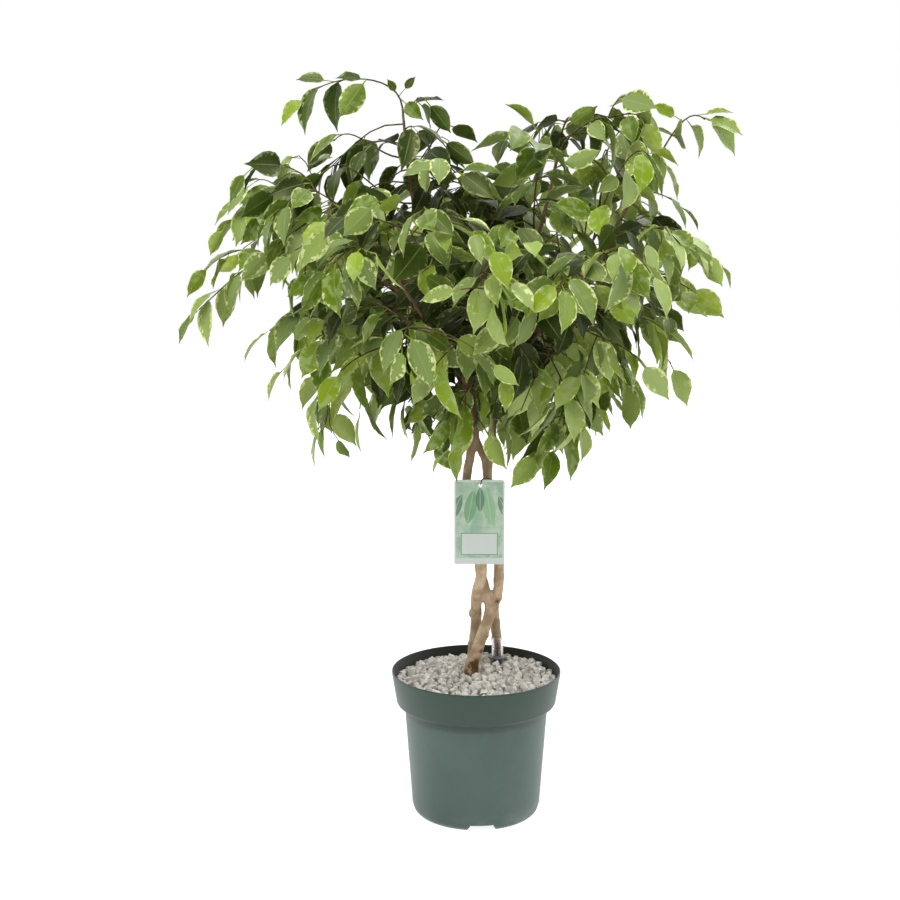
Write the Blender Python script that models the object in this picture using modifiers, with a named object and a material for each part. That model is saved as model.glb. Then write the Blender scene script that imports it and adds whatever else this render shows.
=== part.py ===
# Potted weeping fig: a young variegated Ficus with a plaited trunk in a 24 cm nursery pot.
# Units are metres and +Z is up. The plant is laid out from the pot's axis at floor level, and the whole
# part is shifted at the end so that its origin is the bottom centre of its box.

import math
import random

import bmesh
import bpy
from mathutils import Matrix, Vector
from mathutils.bvhtree import BVHTree
from mathutils.geometry import delaunay_2d_cdt

mm = 0.001
touchGap = 0.0003

# Pot
potHeight = 0.2075
rimRadius = 0.120
collarFootRadius = 0.113
collarHeight = 0.047
shoulderRadius = 0.1015
baseRadius = 0.0915
potWall = 0.0016
footRecess = 0.0095
potSides = 32
footNotchWidth = 0.0426
footNotchTopShare = 0.76
footNotchHeight = 0.0085
footNotchCount = 3
footNotchTurn = math.radians(4.5)
drainHoleRadius = 0.006
drainHoleRing = 0.055
drainHoleCount = 6

# Fill
mixTop = 0.182
moundTop = 0.2025
moundEdge = 0.1905
grainSpacing = 0.0158
grainRelief = 0.0034

# Water gauge
gaugeSpot = Vector((0.032, 0.060, 0.0))
gaugeFoot = 0.060
gaugeTubeRadius = 0.0070
flangeRadius = 0.0135
flangeLevel = 0.2060
flangeThickness = 0.0022
domeRadius = 0.0080
domeHeight = 0.0265
domeWall = 0.0009
floatRadius = 0.0014
floatHeight = 0.0190

# Hang tag and its tie
tagWidth = 0.070
tagHeight = 0.120
tagThickness = 0.0009
tagCorner = 0.004
tagCentre = Vector((0.0035, -0.022, 0.426))
tagHoleRadius = 0.0026
tagHole = Vector((0.0050, -0.022, 0.4780))
tieRadius = 0.0007

# Leaves: the length is the blade's, without its stalk
leafLength = 0.064
leafWidthRatio = 0.52
leafThickness = 0.0008
stalkLength = 0.014
stalkWidth = 0.0016
leafSpacing = 0.0275
leafClearance = 0.0007
leafAttempts = 6
leafSeed = 660

# Twigs
twigRootRadius = 0.0017
twigTipRadius = 0.0011
twigRings = 4
twigCollar = 0.0025

# Each strand of the trunk, from its foot in the potting mix up: x, y, z and radius in millimetres.
strands = {
    "left": [(-2, 62, 120, 9), (-2, 61, 205, 10), (-1, 47, 240, 8.5), (0, 35, 262, 8), (0, 22, 283, 8),
             (0, 12, 302, 8), (2, 4, 322, 8), (7, -2, 346, 8), (6, -3, 372, 7.5), (-2, -2, 408, 7),
             (-10, 0, 446, 6.5), (-14, 2, 481, 6.5), (-10, 4, 509, 6.5), (-7, 3, 527, 6.5),
             (-3, 2, 543, 6.5), (-5, -1, 562, 6), (-12, -4, 582, 6), (-13, -6, 604, 5.5), (-19, -8, 644, 5)],
    "front": [(-8, -5, 120, 10), (-7, -4, 204, 11), (0, -2, 232, 9), (6, 0, 250, 8.5), (12, 4, 266, 8),
              (18, 8, 282, 8), (20, 13, 297, 8), (15, 14, 312, 8), (10, 13, 328, 8), (5, 19, 352, 7.5),
              (4, 27, 385, 7), (8, 32, 425, 6.5), (13, 30, 458, 6.5), (16, 25, 482, 6.5), (17, 14, 516, 6.5),
              (21, 10, 538, 6), (22, 9, 560, 6), (24, 6, 594, 5.5), (32, 2, 629, 5)],
    "right": [(30, 78, 126, 8), (33, 92, 204, 9), (32, 86, 224, 8), (30, 74, 246, 7.5), (27, 50, 270, 7.5),
              (26, 25, 294, 7.5), (31, 11, 320, 7.5), (32, 6, 346, 7.5), (31, 3, 378, 7), (25, 0, 426, 6),
              (15, 0, 481, 5.5), (12, 4, 507, 5.5), (6, 7, 522, 5.5), (-1, 10, 539, 5.5), (-4, 18, 566, 5),
              (-5, 27, 604, 5), (0, 34, 650, 4.5)],
}

# Each limb, from inside the strand that it grows from out to its end: x, y, z and radius in millimetres.
limbs = {
    "leftRise": [(-19, -8, 640, 4.8), (-45, -10, 715, 4), (-72, -12, 800, 3.2), (-91, -6, 890, 2.6),
                 (-101, -2, 990, 2)],
    "leftReach": [(-18, -8, 638, 4.5), (-62, -22, 700, 3.6), (-130, -34, 765, 2.8), (-205, -40, 800, 2)],
    "leftBack": [(-12, -5, 602, 4.5), (-48, 45, 665, 3.6), (-100, 110, 740, 2.8), (-150, 160, 800, 2)],
    "leftFront": [(-16, -7, 622, 4.5), (-48, -70, 682, 3.6), (-88, -135, 745, 2.8), (-118, -175, 798, 2)],
    "leftLow": [(-11, -4, 585, 4.3), (-68, 4, 638, 3.4), (-130, 12, 678, 2.7), (-190, 15, 700, 2)],
    "rightRise": [(32, 2, 625, 4.8), (52, 4, 700, 4), (82, 0, 815, 3.2), (108, -4, 925, 2)],
    "rightReach": [(31, 2, 622, 4.5), (80, -14, 695, 3.6), (154, -24, 786, 2.8), (226, -30, 900, 2)],
    "rightBack": [(25, 5, 600, 4.5), (70, 55, 670, 3.6), (125, 112, 745, 2.8), (180, 150, 822, 2)],
    "rightFront": [(28, 4, 612, 4.5), (66, -60, 675, 3.6), (110, -120, 742, 2.8), (150, -165, 795, 2)],
    "rightLow": [(23, 7, 582, 4.3), (92, 20, 648, 3.4), (160, 34, 692, 2.7), (222, 42, 720, 2)],
    "centreRise": [(0, 34, 646, 4.5), (4, 42, 720, 3.4), (14, 36, 795, 2.6), (20, 28, 850, 2)],
    "centreBack": [(-5, 26, 596, 4.3), (-10, 85, 678, 3.4), (-8, 142, 745, 2.7), (0, 190, 790, 2)],
    "centreFront": [(22, 9, 560, 4.3), (12, -58, 640, 3.4), (5, -118, 715, 2.7), (2, -165, 768, 2)],
}

# Each leafy stem: its limb, how far along the limb it leaves (1 carries on from the limb's end), and its
# tip's x, y and z in millimetres.
stems = [
    ("leftRise", 1.00, (-226, -22, 1006)),
    ("leftRise", 0.84, (-200, 84, 948)),
    ("leftRise", 0.68, (-200, -66, 908)),
    ("leftRise", 0.80, (-38, 28, 966)),
    ("leftRise", 0.58, (-22, -58, 902)),
    ("leftReach", 1.00, (-374, -46, 724)),
    ("leftReach", 0.80, (-284, -10, 692)),
    ("leftReach", 0.62, (-256, -98, 878)),
    ("leftReach", 0.52, (-226, -96, 680)),
    ("leftBack", 1.00, (-246, 226, 778)),
    ("leftBack", 0.76, (-128, 266, 846)),
    ("leftBack", 0.62, (-318, 96, 868)),
    ("leftBack", 0.46, (-206, 104, 664)),
    ("leftFront", 1.00, (-186, -276, 786)),
    ("leftFront", 0.80, (-66, -262, 858)),
    ("leftFront", 0.66, (-96, -262, 696)),
    ("leftFront", 0.50, (-176, -172, 656)),
    ("leftLow", 1.00, (-230, 10, 584)),
    ("leftLow", 0.80, (-160, -40, 588)),
    ("leftLow", 0.52, (-132, 66, 598)),
    ("leftLow", 0.46, (-84, -60, 580)),
    ("rightRise", 1.00, (214, -22, 968)),
    ("rightRise", 0.84, (134, 88, 974)),
    ("rightRise", 0.68, (84, -92, 930)),
    ("rightRise", 0.52, (40, -122, 832)),
    ("rightReach", 1.00, (300, -36, 974)),
    ("rightReach", 0.84, (266, -92, 818)),
    ("rightReach", 0.68, (216, -128, 926)),
    ("rightReach", 0.52, (248, -66, 698)),
    ("rightBack", 1.00, (262, 214, 852)),
    ("rightBack", 0.78, (140, 252, 890)),
    ("rightBack", 0.66, (302, 64, 748)),
    ("rightBack", 0.86, (230, 84, 962)),
    ("rightFront", 1.00, (204, -262, 786)),
    ("rightFront", 0.78, (96, -276, 770)),
    ("rightFront", 0.60, (206, -170, 668)),
    ("rightFront", 0.46, (112, -176, 628)),
    ("rightLow", 1.00, (274, 46, 640)),
    ("rightLow", 0.74, (206, -20, 618)),
    ("rightLow", 0.54, (150, 66, 556)),
    ("rightLow", 0.44, (104, -44, 540)),
    ("rightLow", 0.30, (66, 66, 556)),
    ("centreRise", 1.00, (-30, 74, 880)),
    ("centreRise", 0.60, (68, 132, 850)),
    ("centreBack", 1.00, (12, 286, 750)),
    ("centreBack", 0.66, (-86, 226, 700)),
    ("centreBack", 0.56, (92, 210, 694)),
    ("centreFront", 1.00, (12, -276, 752)),
    ("centreFront", 0.66, (-60, -206, 660)),
    ("centreFront", 0.36, (-36, -106, 590)),
]

bpy.context.scene.unit_settings.length_unit = "MILLIMETERS"
for oldObject in list(bpy.data.objects):
    bpy.data.objects.remove(oldObject, do_unlink=True)

parts = bpy.data.collections.new("potted_weeping_fig")
bpy.context.scene.collection.children.link(parts)
cutters = bpy.data.collections.new("cutters")
bpy.context.scene.collection.children.link(cutters)
grainDraw = random.Random(24)


def makeMaterial(name, colour, roughness, metallic=0.0, alpha=1.0):
    material = bpy.data.materials.new(name)
    material.use_nodes = True
    shader = material.node_tree.nodes["Principled BSDF"]
    shader.inputs["Base Color"].default_value = (*colour, 1.0)
    shader.inputs["Roughness"].default_value = roughness
    shader.inputs["Metallic"].default_value = metallic
    shader.inputs["Alpha"].default_value = alpha
    return material


def addObject(name, data, collection, material=None):
    item = bpy.data.objects.new(name, data)
    collection.objects.link(item)
    if material:
        data.materials.append(material)
    if collection is cutters:
        item.hide_render = True
        item.display_type = "WIRE"
    return item


def meshFromBmesh(name, build):
    mesh = bpy.data.meshes.new(name)
    build.to_mesh(mesh)
    build.free()
    return mesh


def evaluatedMesh(item):
    depsgraph = bpy.context.evaluated_depsgraph_get()
    return bpy.data.meshes.new_from_object(item.evaluated_get(depsgraph))


def applyModifiers(item):
    finished = evaluatedMesh(item)
    item.modifiers.clear()
    item.data = finished
    return item


def cutOrJoin(item, operation, other):
    step = item.modifiers.new(operation.lower(), "BOOLEAN")
    step.operation = operation
    if isinstance(other, bpy.types.Collection):
        step.operand_type = "COLLECTION"
        step.collection = other
    else:
        step.object = other
    return step


def cylinderMesh(name, radius, bottom, top, sides, spot=Vector((0.0, 0.0, 0.0)), topRadius=None):
    build = bmesh.new()
    place = Matrix.Translation(Vector((spot.x, spot.y, (bottom + top) / 2)))
    upper = radius if topRadius is None else topRadius
    bmesh.ops.create_cone(build, cap_ends=True, segments=sides, radius1=radius, radius2=upper,
                          depth=top - bottom, matrix=place)
    return meshFromBmesh(name, build)


def turnedObject(name, profile, sides, collection, material=None):
    build = bmesh.new()
    corners = [build.verts.new((radius, 0.0, height)) for radius, height in profile]
    for first, second in zip(corners, corners[1:]):
        build.edges.new((first, second))
    item = addObject(name, meshFromBmesh(name, build), collection, material)
    turn = item.modifiers.new("turn", "SCREW")
    turn.steps = sides
    turn.render_steps = sides
    turn.use_merge_vertices = True
    turn.merge_threshold = 0.00005
    turn.use_smooth_shade = True
    return item


# A smooth curve through rows of x, y, z and radius in millimetres, given in metres.
def smoothPath(rows, steps):
    points = [Vector(row) * mm for row in rows]
    points = [2 * points[0] - points[1]] + points + [2 * points[-1] - points[-2]]
    path = []
    for a, b, c, d in zip(points, points[1:], points[2:], points[3:]):
        for index in range(steps):
            t = index / steps
            path.append(0.5 * (2 * b + (c - a) * t + (2 * a - 5 * b + 4 * c - d) * t ** 2
                               + (3 * b - a - 3 * c + d) * t ** 3))
    path.append(points[-2])
    return path


# A closed tube along a path of x, y, z and radius, as a mesh object.
def tubeObject(name, path, bevel, collection, material=None, cyclic=False):
    curve = bpy.data.curves.new(name + "_route", "CURVE")
    curve.dimensions = "3D"
    curve.bevel_depth = 1.0
    curve.bevel_resolution = bevel
    curve.use_fill_caps = not cyclic
    spline = curve.splines.new("POLY")
    spline.points.add(len(path) - 1)
    spline.use_cyclic_u = cyclic
    for point, stop in zip(spline.points, path):
        point.co = (stop[0], stop[1], stop[2], 1.0)
        point.radius = stop[3]
    route = addObject(name + "_route", curve, cutters)
    mesh = evaluatedMesh(route)
    mesh.name = name
    bpy.data.objects.remove(route, do_unlink=True)
    build = bmesh.new()
    build.from_mesh(mesh)
    bmesh.ops.remove_doubles(build, verts=build.verts, dist=0.00001)
    bmesh.ops.recalc_face_normals(build, faces=build.faces)
    build.to_mesh(mesh)
    build.free()
    mesh.materials.clear()
    return addObject(name, mesh, collection, material)


def meshTree(mesh):
    build = bmesh.new()
    build.from_mesh(mesh)
    tree = BVHTree.FromBMesh(build)
    build.free()
    return tree


# Joins every mesh of a list into one solid and removes them.
def fuse(item, pieces):
    gather = bpy.data.collections.new("join")
    bpy.context.scene.collection.children.link(gather)
    for piece in pieces:
        gather.objects.link(piece)
    cutOrJoin(item, "UNION", gather)
    applyModifiers(item)
    for piece in pieces:
        bpy.data.objects.remove(piece, do_unlink=True)
    bpy.data.collections.remove(gather)
    return item


# Pot

potPlastic = makeMaterial("pot_plastic", (0.10, 0.135, 0.115), 0.5)
collarFoot = potHeight - collarHeight
outerProfile = [
    (rimRadius - potWall, potHeight), (rimRadius, potHeight - 0.0006), (rimRadius, potHeight - 0.0040),
    (collarFootRadius + 0.0004, collarFoot + 0.002), (collarFootRadius - 0.0010, collarFoot),
    (shoulderRadius + 0.0022, collarFoot - 0.0046), (shoulderRadius, collarFoot - 0.0105),
    (baseRadius, 0.0120), (baseRadius - 0.0020, 0.0042), (baseRadius - 0.0060, 0.0),
    (baseRadius - 0.0079, 0.0), (baseRadius - 0.0036, 0.0046), (baseRadius - 0.0030, footRecess),
    (0.0, footRecess),
]
innerProfile = [
    (0.0, footRecess + potWall), (baseRadius - potWall - 0.0020, footRecess + potWall),
    (baseRadius - potWall, footRecess + 0.0040), (shoulderRadius - potWall, collarFoot - 0.0090),
    (shoulderRadius + 0.0022 - potWall, collarFoot - 0.0031),
    (collarFootRadius - 0.0022, collarFoot + 0.0018),
]
pot = turnedObject("pot", outerProfile + innerProfile + outerProfile[:1], potSides, parts, potPlastic)
for index in range(footNotchCount):
    build = bmesh.new()
    reach = Matrix.Translation((0.0, -baseRadius, footNotchHeight / 2 - 0.001))
    bmesh.ops.create_cube(build, size=1.0, matrix=reach @ Matrix.Diagonal(
        (footNotchWidth, 0.040, footNotchHeight + 0.002, 1.0)))
    for vertex in build.verts:
        if vertex.co.z > 0.0:
            vertex.co.x *= footNotchTopShare
    build.transform(Matrix.Rotation(footNotchTurn + index * math.tau / footNotchCount, 4, "Z"))
    notch = addObject("foot_notch_cutter", meshFromBmesh("foot_notch_cutter", build), cutters)
    cutOrJoin(pot, "DIFFERENCE", notch)
for index in range(drainHoleCount):
    turn = footNotchTurn + (index + 0.5) * math.tau / drainHoleCount
    spot = Vector((math.cos(turn), math.sin(turn), 0.0)) * drainHoleRing
    hole = cylinderMesh("drain_cutter", drainHoleRadius, 0.004, 0.016, 10, spot)
    cutOrJoin(pot, "DIFFERENCE", addObject("drain_cutter", hole, cutters))

# Potting mix, inside the pot with a fitting gap

mixBrown = makeMaterial("potting_mix", (0.045, 0.030, 0.020), 0.95)
potInner = potWall + touchGap
collarLean = (rimRadius - collarFootRadius) / collarHeight
mixProfile = [
    (0.0, mixTop), (collarFootRadius - 0.0030 + (mixTop - collarFoot) * collarLean, mixTop),
    (collarFootRadius - 0.0030, collarFoot + 0.0022),
    (shoulderRadius + 0.0018 - potInner, collarFoot - 0.0028),
    (shoulderRadius - potInner, collarFoot - 0.0090), (baseRadius - potInner, footRecess + 0.0043),
    (baseRadius - potInner - 0.0022, footRecess + potInner), (0.0, footRecess + potInner),
]
mix = turnedObject("potting_mix", mixProfile, potSides, parts, mixBrown)

# Trunk: three strands and their limbs grown into one piece of wood

bark = makeMaterial("bark", (0.30, 0.22, 0.14), 0.85)
limbPaths = {}
grown = []
for name, rows in strands.items():
    path = smoothPath(rows, 1)
    grown.append(tubeObject("strand_" + name, path, 2, cutters))
for name, rows in limbs.items():
    limbPaths[name] = smoothPath(rows, 2)
    grown.append(tubeObject("limb_" + name, limbPaths[name], 1, cutters))
trunk = addObject("trunk", grown[0].data, parts, bark)
bpy.data.objects.remove(grown[0], do_unlink=True)
for piece in grown[1:]:
    cutOrJoin(trunk, "UNION", piece)
    applyModifiers(trunk)
    bpy.data.objects.remove(piece, do_unlink=True)
trunk.data.materials.clear()
trunk.data.materials.append(bark)
trunkTree = meshTree(trunk.data)

# Top dressing: a mounded layer whose top rises and falls grain by grain

pumice = makeMaterial("pumice", (0.60, 0.58, 0.54), 0.95)


def dressingRadius(height):
    return collarFootRadius - 0.0030 + (height - collarFoot) * collarLean


def moundHeight(x, y):
    out = min(1.0, math.hypot(x, y) / rimRadius)
    lowBackLeft = 0.004 * max(0.0, (y - x) / (2 * rimRadius))
    return moundTop - (moundTop - moundEdge) * out ** 2.2 - lowBackLeft


dressingFoot = mixTop + touchGap
edgeRadius = dressingRadius(moundEdge)
edgeCount = 40
grainSpots = []
for index in range(edgeCount):
    turn = index * math.tau / edgeCount
    grainSpots.append(Vector((math.cos(turn), math.sin(turn))) * edgeRadius)
goldenTurn = math.pi * (3 - math.sqrt(5))
grainCount = int((edgeRadius - grainSpacing * 0.8) ** 2 * math.pi / (0.87 * grainSpacing ** 2))
for index in range(grainCount):
    out = (edgeRadius - grainSpacing * 0.8) * math.sqrt((index + 0.5) / grainCount)
    turn = index * goldenTurn
    jog = Vector((grainDraw.uniform(-1, 1), grainDraw.uniform(-1, 1))) * grainSpacing * 0.16
    grainSpots.append(Vector((math.cos(turn), math.sin(turn))) * out + jog)
flat = delaunay_2d_cdt(grainSpots, [], [], 0, 0.0001)
build = bmesh.new()
surface = []
for number, spot in enumerate(flat[0]):
    onEdge = spot.length > edgeRadius - 0.001
    lift = 0.0 if onEdge else grainDraw.uniform(-1, 1) * grainRelief
    surface.append(build.verts.new((spot.x, spot.y, moundHeight(spot.x, spot.y) + lift)))
for corners in flat[2]:
    build.faces.new([surface[corner] for corner in corners])
side = bmesh.ops.extrude_edge_only(build, edges=[edge for edge in build.edges if edge.is_boundary])
lowRing = [vertex for vertex in side["geom"] if isinstance(vertex, bmesh.types.BMVert)]
shrink = dressingRadius(dressingFoot) / edgeRadius
for vertex in lowRing:
    vertex.co = Vector((vertex.co.x * shrink, vertex.co.y * shrink, dressingFoot))
bmesh.ops.contextual_create(build, geom=[edge for edge in build.edges if edge.is_boundary])
bmesh.ops.recalc_face_normals(build, faces=build.faces)
dressing = addObject("top_dressing", meshFromBmesh("top_dressing", build), parts, pumice)

# Plain holes for the strands and the gauge in the fill

holeRoom = 0.0004
for name, rows in strands.items():
    foot = [Vector(row) * mm for row in rows[:3]]
    wide = [Vector((*stop[:3], stop[3] * 1.04 + holeRoom)) for stop in foot]
    wide[0].z -= touchGap
    wide[-1] += (wide[-1] - wide[-2]) * 0.2
    hole = tubeObject("hole_" + name, wide, 2, cutters)
    for layer in (mix, dressing):
        cutOrJoin(layer, "DIFFERENCE", hole)
shaft = cylinderMesh("gauge_shaft_cutter", gaugeTubeRadius + touchGap, gaugeFoot - touchGap, 0.24, 20,
                     gaugeSpot)
shaftCutter = addObject("gauge_shaft_cutter", shaft, cutters)
for layer in (mix, dressing):
    cutOrJoin(layer, "DIFFERENCE", shaftCutter)
seat = cylinderMesh("gauge_seat_cutter", flangeRadius + 0.0008, flangeLevel - touchGap, 0.24, 24,
                    gaugeSpot)
cutOrJoin(dressing, "DIFFERENCE", addObject("gauge_seat_cutter", seat, cutters))

# Water gauge: grey tube with its flange, clear dome and dark float

gaugeGrey = makeMaterial("gauge_grey", (0.16, 0.17, 0.17), 0.4)
gaugeClear = makeMaterial("gauge_clear", (0.92, 0.94, 0.95), 0.08, alpha=0.35)
gaugeDark = makeMaterial("gauge_float", (0.06, 0.06, 0.06), 0.4)
flangeTop = flangeLevel + flangeThickness
tubeProfile = [
    (0.0, flangeTop), (flangeRadius - 0.0005, flangeTop), (flangeRadius, flangeTop - 0.0005),
    (flangeRadius, flangeLevel), (gaugeTubeRadius, flangeLevel), (gaugeTubeRadius, gaugeFoot + 0.002),
    (gaugeTubeRadius - 0.002, gaugeFoot), (0.0, gaugeFoot),
]
gaugeTube = turnedObject("gauge_tube", tubeProfile, 14, parts, gaugeGrey)
domeFoot = flangeTop + touchGap
domeTop = domeFoot + domeHeight
domeProfile = [
    (0.0, domeTop), (domeRadius - 0.0022, domeTop), (domeRadius - 0.0005, domeTop - 0.0009),
    (domeRadius, domeTop - 0.0026), (domeRadius, domeFoot), (domeRadius - domeWall, domeFoot),
    (domeRadius - domeWall, domeTop - 0.0030),
    (domeRadius - domeWall - 0.0010, domeTop - domeWall - 0.0006),
    (0.0, domeTop - domeWall - 0.0006),
]
gaugeDome = turnedObject("gauge_dome", domeProfile, 16, parts, gaugeClear)
floatProfile = [
    (0.0, domeFoot + floatHeight), (floatRadius - 0.0004, domeFoot + floatHeight),
    (floatRadius, domeFoot + floatHeight - 0.0004), (floatRadius, domeFoot), (0.0, domeFoot),
]
gaugeFloat = turnedObject("gauge_float", floatProfile, 8, parts, gaugeDark)
for item in (gaugeTube, gaugeDome, gaugeFloat):
    item.location = gaugeSpot

# Hang tag: a card with rounded corners and a punched hole

card = makeMaterial("tag_card", (0.75, 0.78, 0.72), 0.55)
outline = bpy.data.curves.new("hang_tag_outline", "CURVE")
outline.dimensions = "2D"
outline.fill_mode = "BOTH"
outline.extrude = tagThickness / 2
cardEdge = outline.splines.new("POLY")
cornerSteps = 2
cardPoints = []
for turns, (sideX, sideZ) in enumerate(((1, 1), (-1, 1), (-1, -1), (1, -1))):
    for step in range(cornerSteps + 1):
        turn = (turns + step / cornerSteps) * math.pi / 2
        cardPoints.append((sideX * (tagWidth / 2 - tagCorner) + tagCorner * math.cos(turn),
                           sideZ * (tagHeight / 2 - tagCorner) + tagCorner * math.sin(turn)))
cardEdge.points.add(len(cardPoints) - 1)
for point, (x, z) in zip(cardEdge.points, cardPoints):
    point.co = (x, z, 0.0, 1.0)
cardEdge.use_cyclic_u = True
flatCard = addObject("hang_tag_outline", outline, cutters)
tagMesh = evaluatedMesh(flatCard)
bpy.data.objects.remove(flatCard, do_unlink=True)
build = bmesh.new()
build.from_mesh(tagMesh)
bmesh.ops.remove_doubles(build, verts=build.verts, dist=0.00001)
build.to_mesh(tagMesh)
build.free()
tag = addObject("hang_tag", tagMesh, parts, card)
tag.location = tagCentre
tag.rotation_euler = (math.pi / 2, 0.0, 0.0)
punch = cylinderMesh("tag_hole_cutter", tagHoleRadius, -0.01, 0.01, 12)
punchCutter = addObject("tag_hole_cutter", punch, cutters)
punchCutter.location = tagHole
punchCutter.rotation_euler = (math.pi / 2, 0.0, 0.0)
cutOrJoin(tag, "DIFFERENCE", punchCutter)

# Tie: a loop through the tag's hole, over its top edge and round the right strand

tieBlack = makeMaterial("tie_black", (0.012, 0.012, 0.012), 0.5)
tieStops = [
    (5.0, -22.0, 479.2), (4.8, -18.0, 479.0), (5.6, -8.0, 479.4), (7.8, -1.3, 480.2), (9.0, 4.2, 480.8),
    (13.7, 7.2, 481.4), (19.2, 6.0, 482.0), (22.2, 1.3, 482.6), (20.4, -8.0, 484.6), (13.6, -17.0, 487.6),
    (8.6, -21.6, 488.2), (6.4, -24.8, 486.0), (5.4, -25.0, 481.2),
]
tiePath = [Vector((*(Vector(stop) * mm), tieRadius)) for stop in tieStops]
tie = tubeObject("tag_tie", tiePath, 1, parts, tieBlack, cyclic=True)

# Leafy stems

leafGreen = makeMaterial("leaf", (0.20, 0.27, 0.07), 0.4)
down = Vector((0.0, 0.0, -1.0))
crownHeart = Vector((0.0, 0.0, 0.66))


def across(vector, axis):
    return (vector - axis * vector.dot(axis)).normalized()


def jittered(draw, vector, amount):
    shake = Vector((draw.uniform(-1, 1), draw.uniform(-1, 1), draw.uniform(-1, 1)))
    return (vector + shake * amount).normalized()


# Where a stem leaves its limb: the point on the axis, the limb's direction there and its radius.
def limbStation(path, fraction):
    reach = fraction * (len(path) - 1)
    index = min(int(reach), len(path) - 2)
    here, ahead = path[index], path[index + 1]
    spot = here.lerp(ahead, reach - index)
    return Vector(spot[:3]), Vector((ahead - here)[:3]).normalized(), spot[3]


# The stem leaves its limb squarely, arches and ends in a drooping tip.
def stemPath(limb, fraction, tip):
    spot, along, radius = limbStation(limbPaths[limb], fraction)
    if fraction == 1.0:
        leave = along
        root = spot + along * touchGap
    else:
        leave = across(tip - spot + Vector((0.0, 0.0, 0.02)), along)
        root = spot + leave * (radius + touchGap)
    span = (tip - root).length
    outward = Vector((tip.x - root.x, tip.y - root.y, 0.0)).normalized()
    droop = (outward + down * 0.9).normalized()
    first = root + leave * span * 0.38
    second = tip - droop * span * 0.36
    path = [Vector((*root, twigRootRadius)), Vector((*(root + leave * twigCollar), twigRootRadius))]
    for index in range(1, twigRings + 1):
        t = index / twigRings
        place = (root * (1 - t) ** 3 + first * 3 * t * (1 - t) ** 2 + second * 3 * t ** 2 * (1 - t)
                 + tip * t ** 3)
        path.append(Vector((*place, twigRootRadius + (twigTipRadius - twigRootRadius) * t)))
    return path


def pathLength(path):
    return sum(Vector((b - a)[:3]).length for a, b in zip(path, path[1:]))


def pathStation(path, distance):
    for a, b in zip(path, path[1:]):
        step = Vector((b - a)[:3])
        if distance <= step.length:
            return Vector(a[:3]) + step.normalized() * distance, step.normalized()
        distance -= step.length
    step = Vector((path[-1] - path[-2])[:3]).normalized()
    return Vector(path[-1][:3]) + step * distance, step


# The leaf's outline, as pairs of distance along it and half width: stalk, blade and drip tip.
def leafStations(length):
    half = length * leafWidthRatio / 2
    return [(0.0, stalkWidth / 2), (stalkLength, stalkWidth / 2 + 0.0004),
            (stalkLength + length * 0.33, half), (stalkLength + length * 0.66, half * 0.66),
            (stalkLength + length, 0.0003)]


bladeCurl = (0.0, 0.0, 0.0, 0.16, 0.42)
stripRows = len(bladeCurl)
build = bmesh.new()
bmesh.ops.create_grid(build, x_segments=1, y_segments=stripRows - 1, size=0.5)
under = bmesh.ops.extrude_face_region(build, geom=list(build.faces))
bmesh.ops.translate(build, vec=(0.0, 0.0, -1.0), verts=[
    vertex for vertex in under["geom"] if isinstance(vertex, bmesh.types.BMVert)])
bmesh.ops.translate(build, vec=(0.0, 0.0, 0.5), verts=build.verts)
bmesh.ops.recalc_face_normals(build, faces=build.faces)
leafStrip = meshFromBmesh("leaf_strip", build)


# A leaf from its root: the strip's rows follow the stalk's direction, then the blade's as it curls.
def leafMesh(root, stalkWay, bladeWay, facing, length, extra):
    stations = leafStations(length)
    wide = bladeWay.cross(facing).normalized()
    ways = [across(stalkWay, wide)] * 2 + [(bladeWay - facing * curl).normalized() for curl in bladeCurl[2:]]
    folds = [(way + ahead).normalized() for way, ahead in zip(ways, ways[1:])] + ways[-1:]
    spine = [root]
    for number in range(1, stripRows):
        spine.append(spine[-1] + ways[number] * (stations[number][0] - stations[number - 1][0]))
    build = bmesh.new()
    build.from_mesh(leafStrip)
    tips = []
    for vertex in build.verts:
        number = round((vertex.co.y + 0.5) * (stripRows - 1))
        side = 2 * vertex.co.x
        layer = 2 * vertex.co.z
        vertex.co = (spine[number] + wide * side * (stations[number][1] + extra)
                     + wide.cross(folds[number]) * layer * (leafThickness / 2 + extra))
        if number == stripRows - 1:
            tips.append((layer, vertex))
    for level in (-1, 1):
        pair = [vertex for layer, vertex in tips if layer * level > 0]
        bmesh.ops.pointmerge(build, verts=pair, merge_co=(pair[0].co + pair[1].co) / 2)
    return build


solids = [(Vector((0.0, 0.0, 0.6)), 10.0, trunkTree)]
stemWork = []
for number, (limb, fraction, tip) in enumerate(stems):
    path = stemPath(limb, fraction, Vector(tip) * mm)
    twig = tubeObject("leafy_stem_%02d" % (number + 1), path, 0, parts, leafGreen)
    stemWork.append((twig, path))
    middle, way = pathStation(path, pathLength(path) / 2)
    solids.append((middle, pathLength(path) * 0.6, meshTree(twig.data)))

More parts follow.
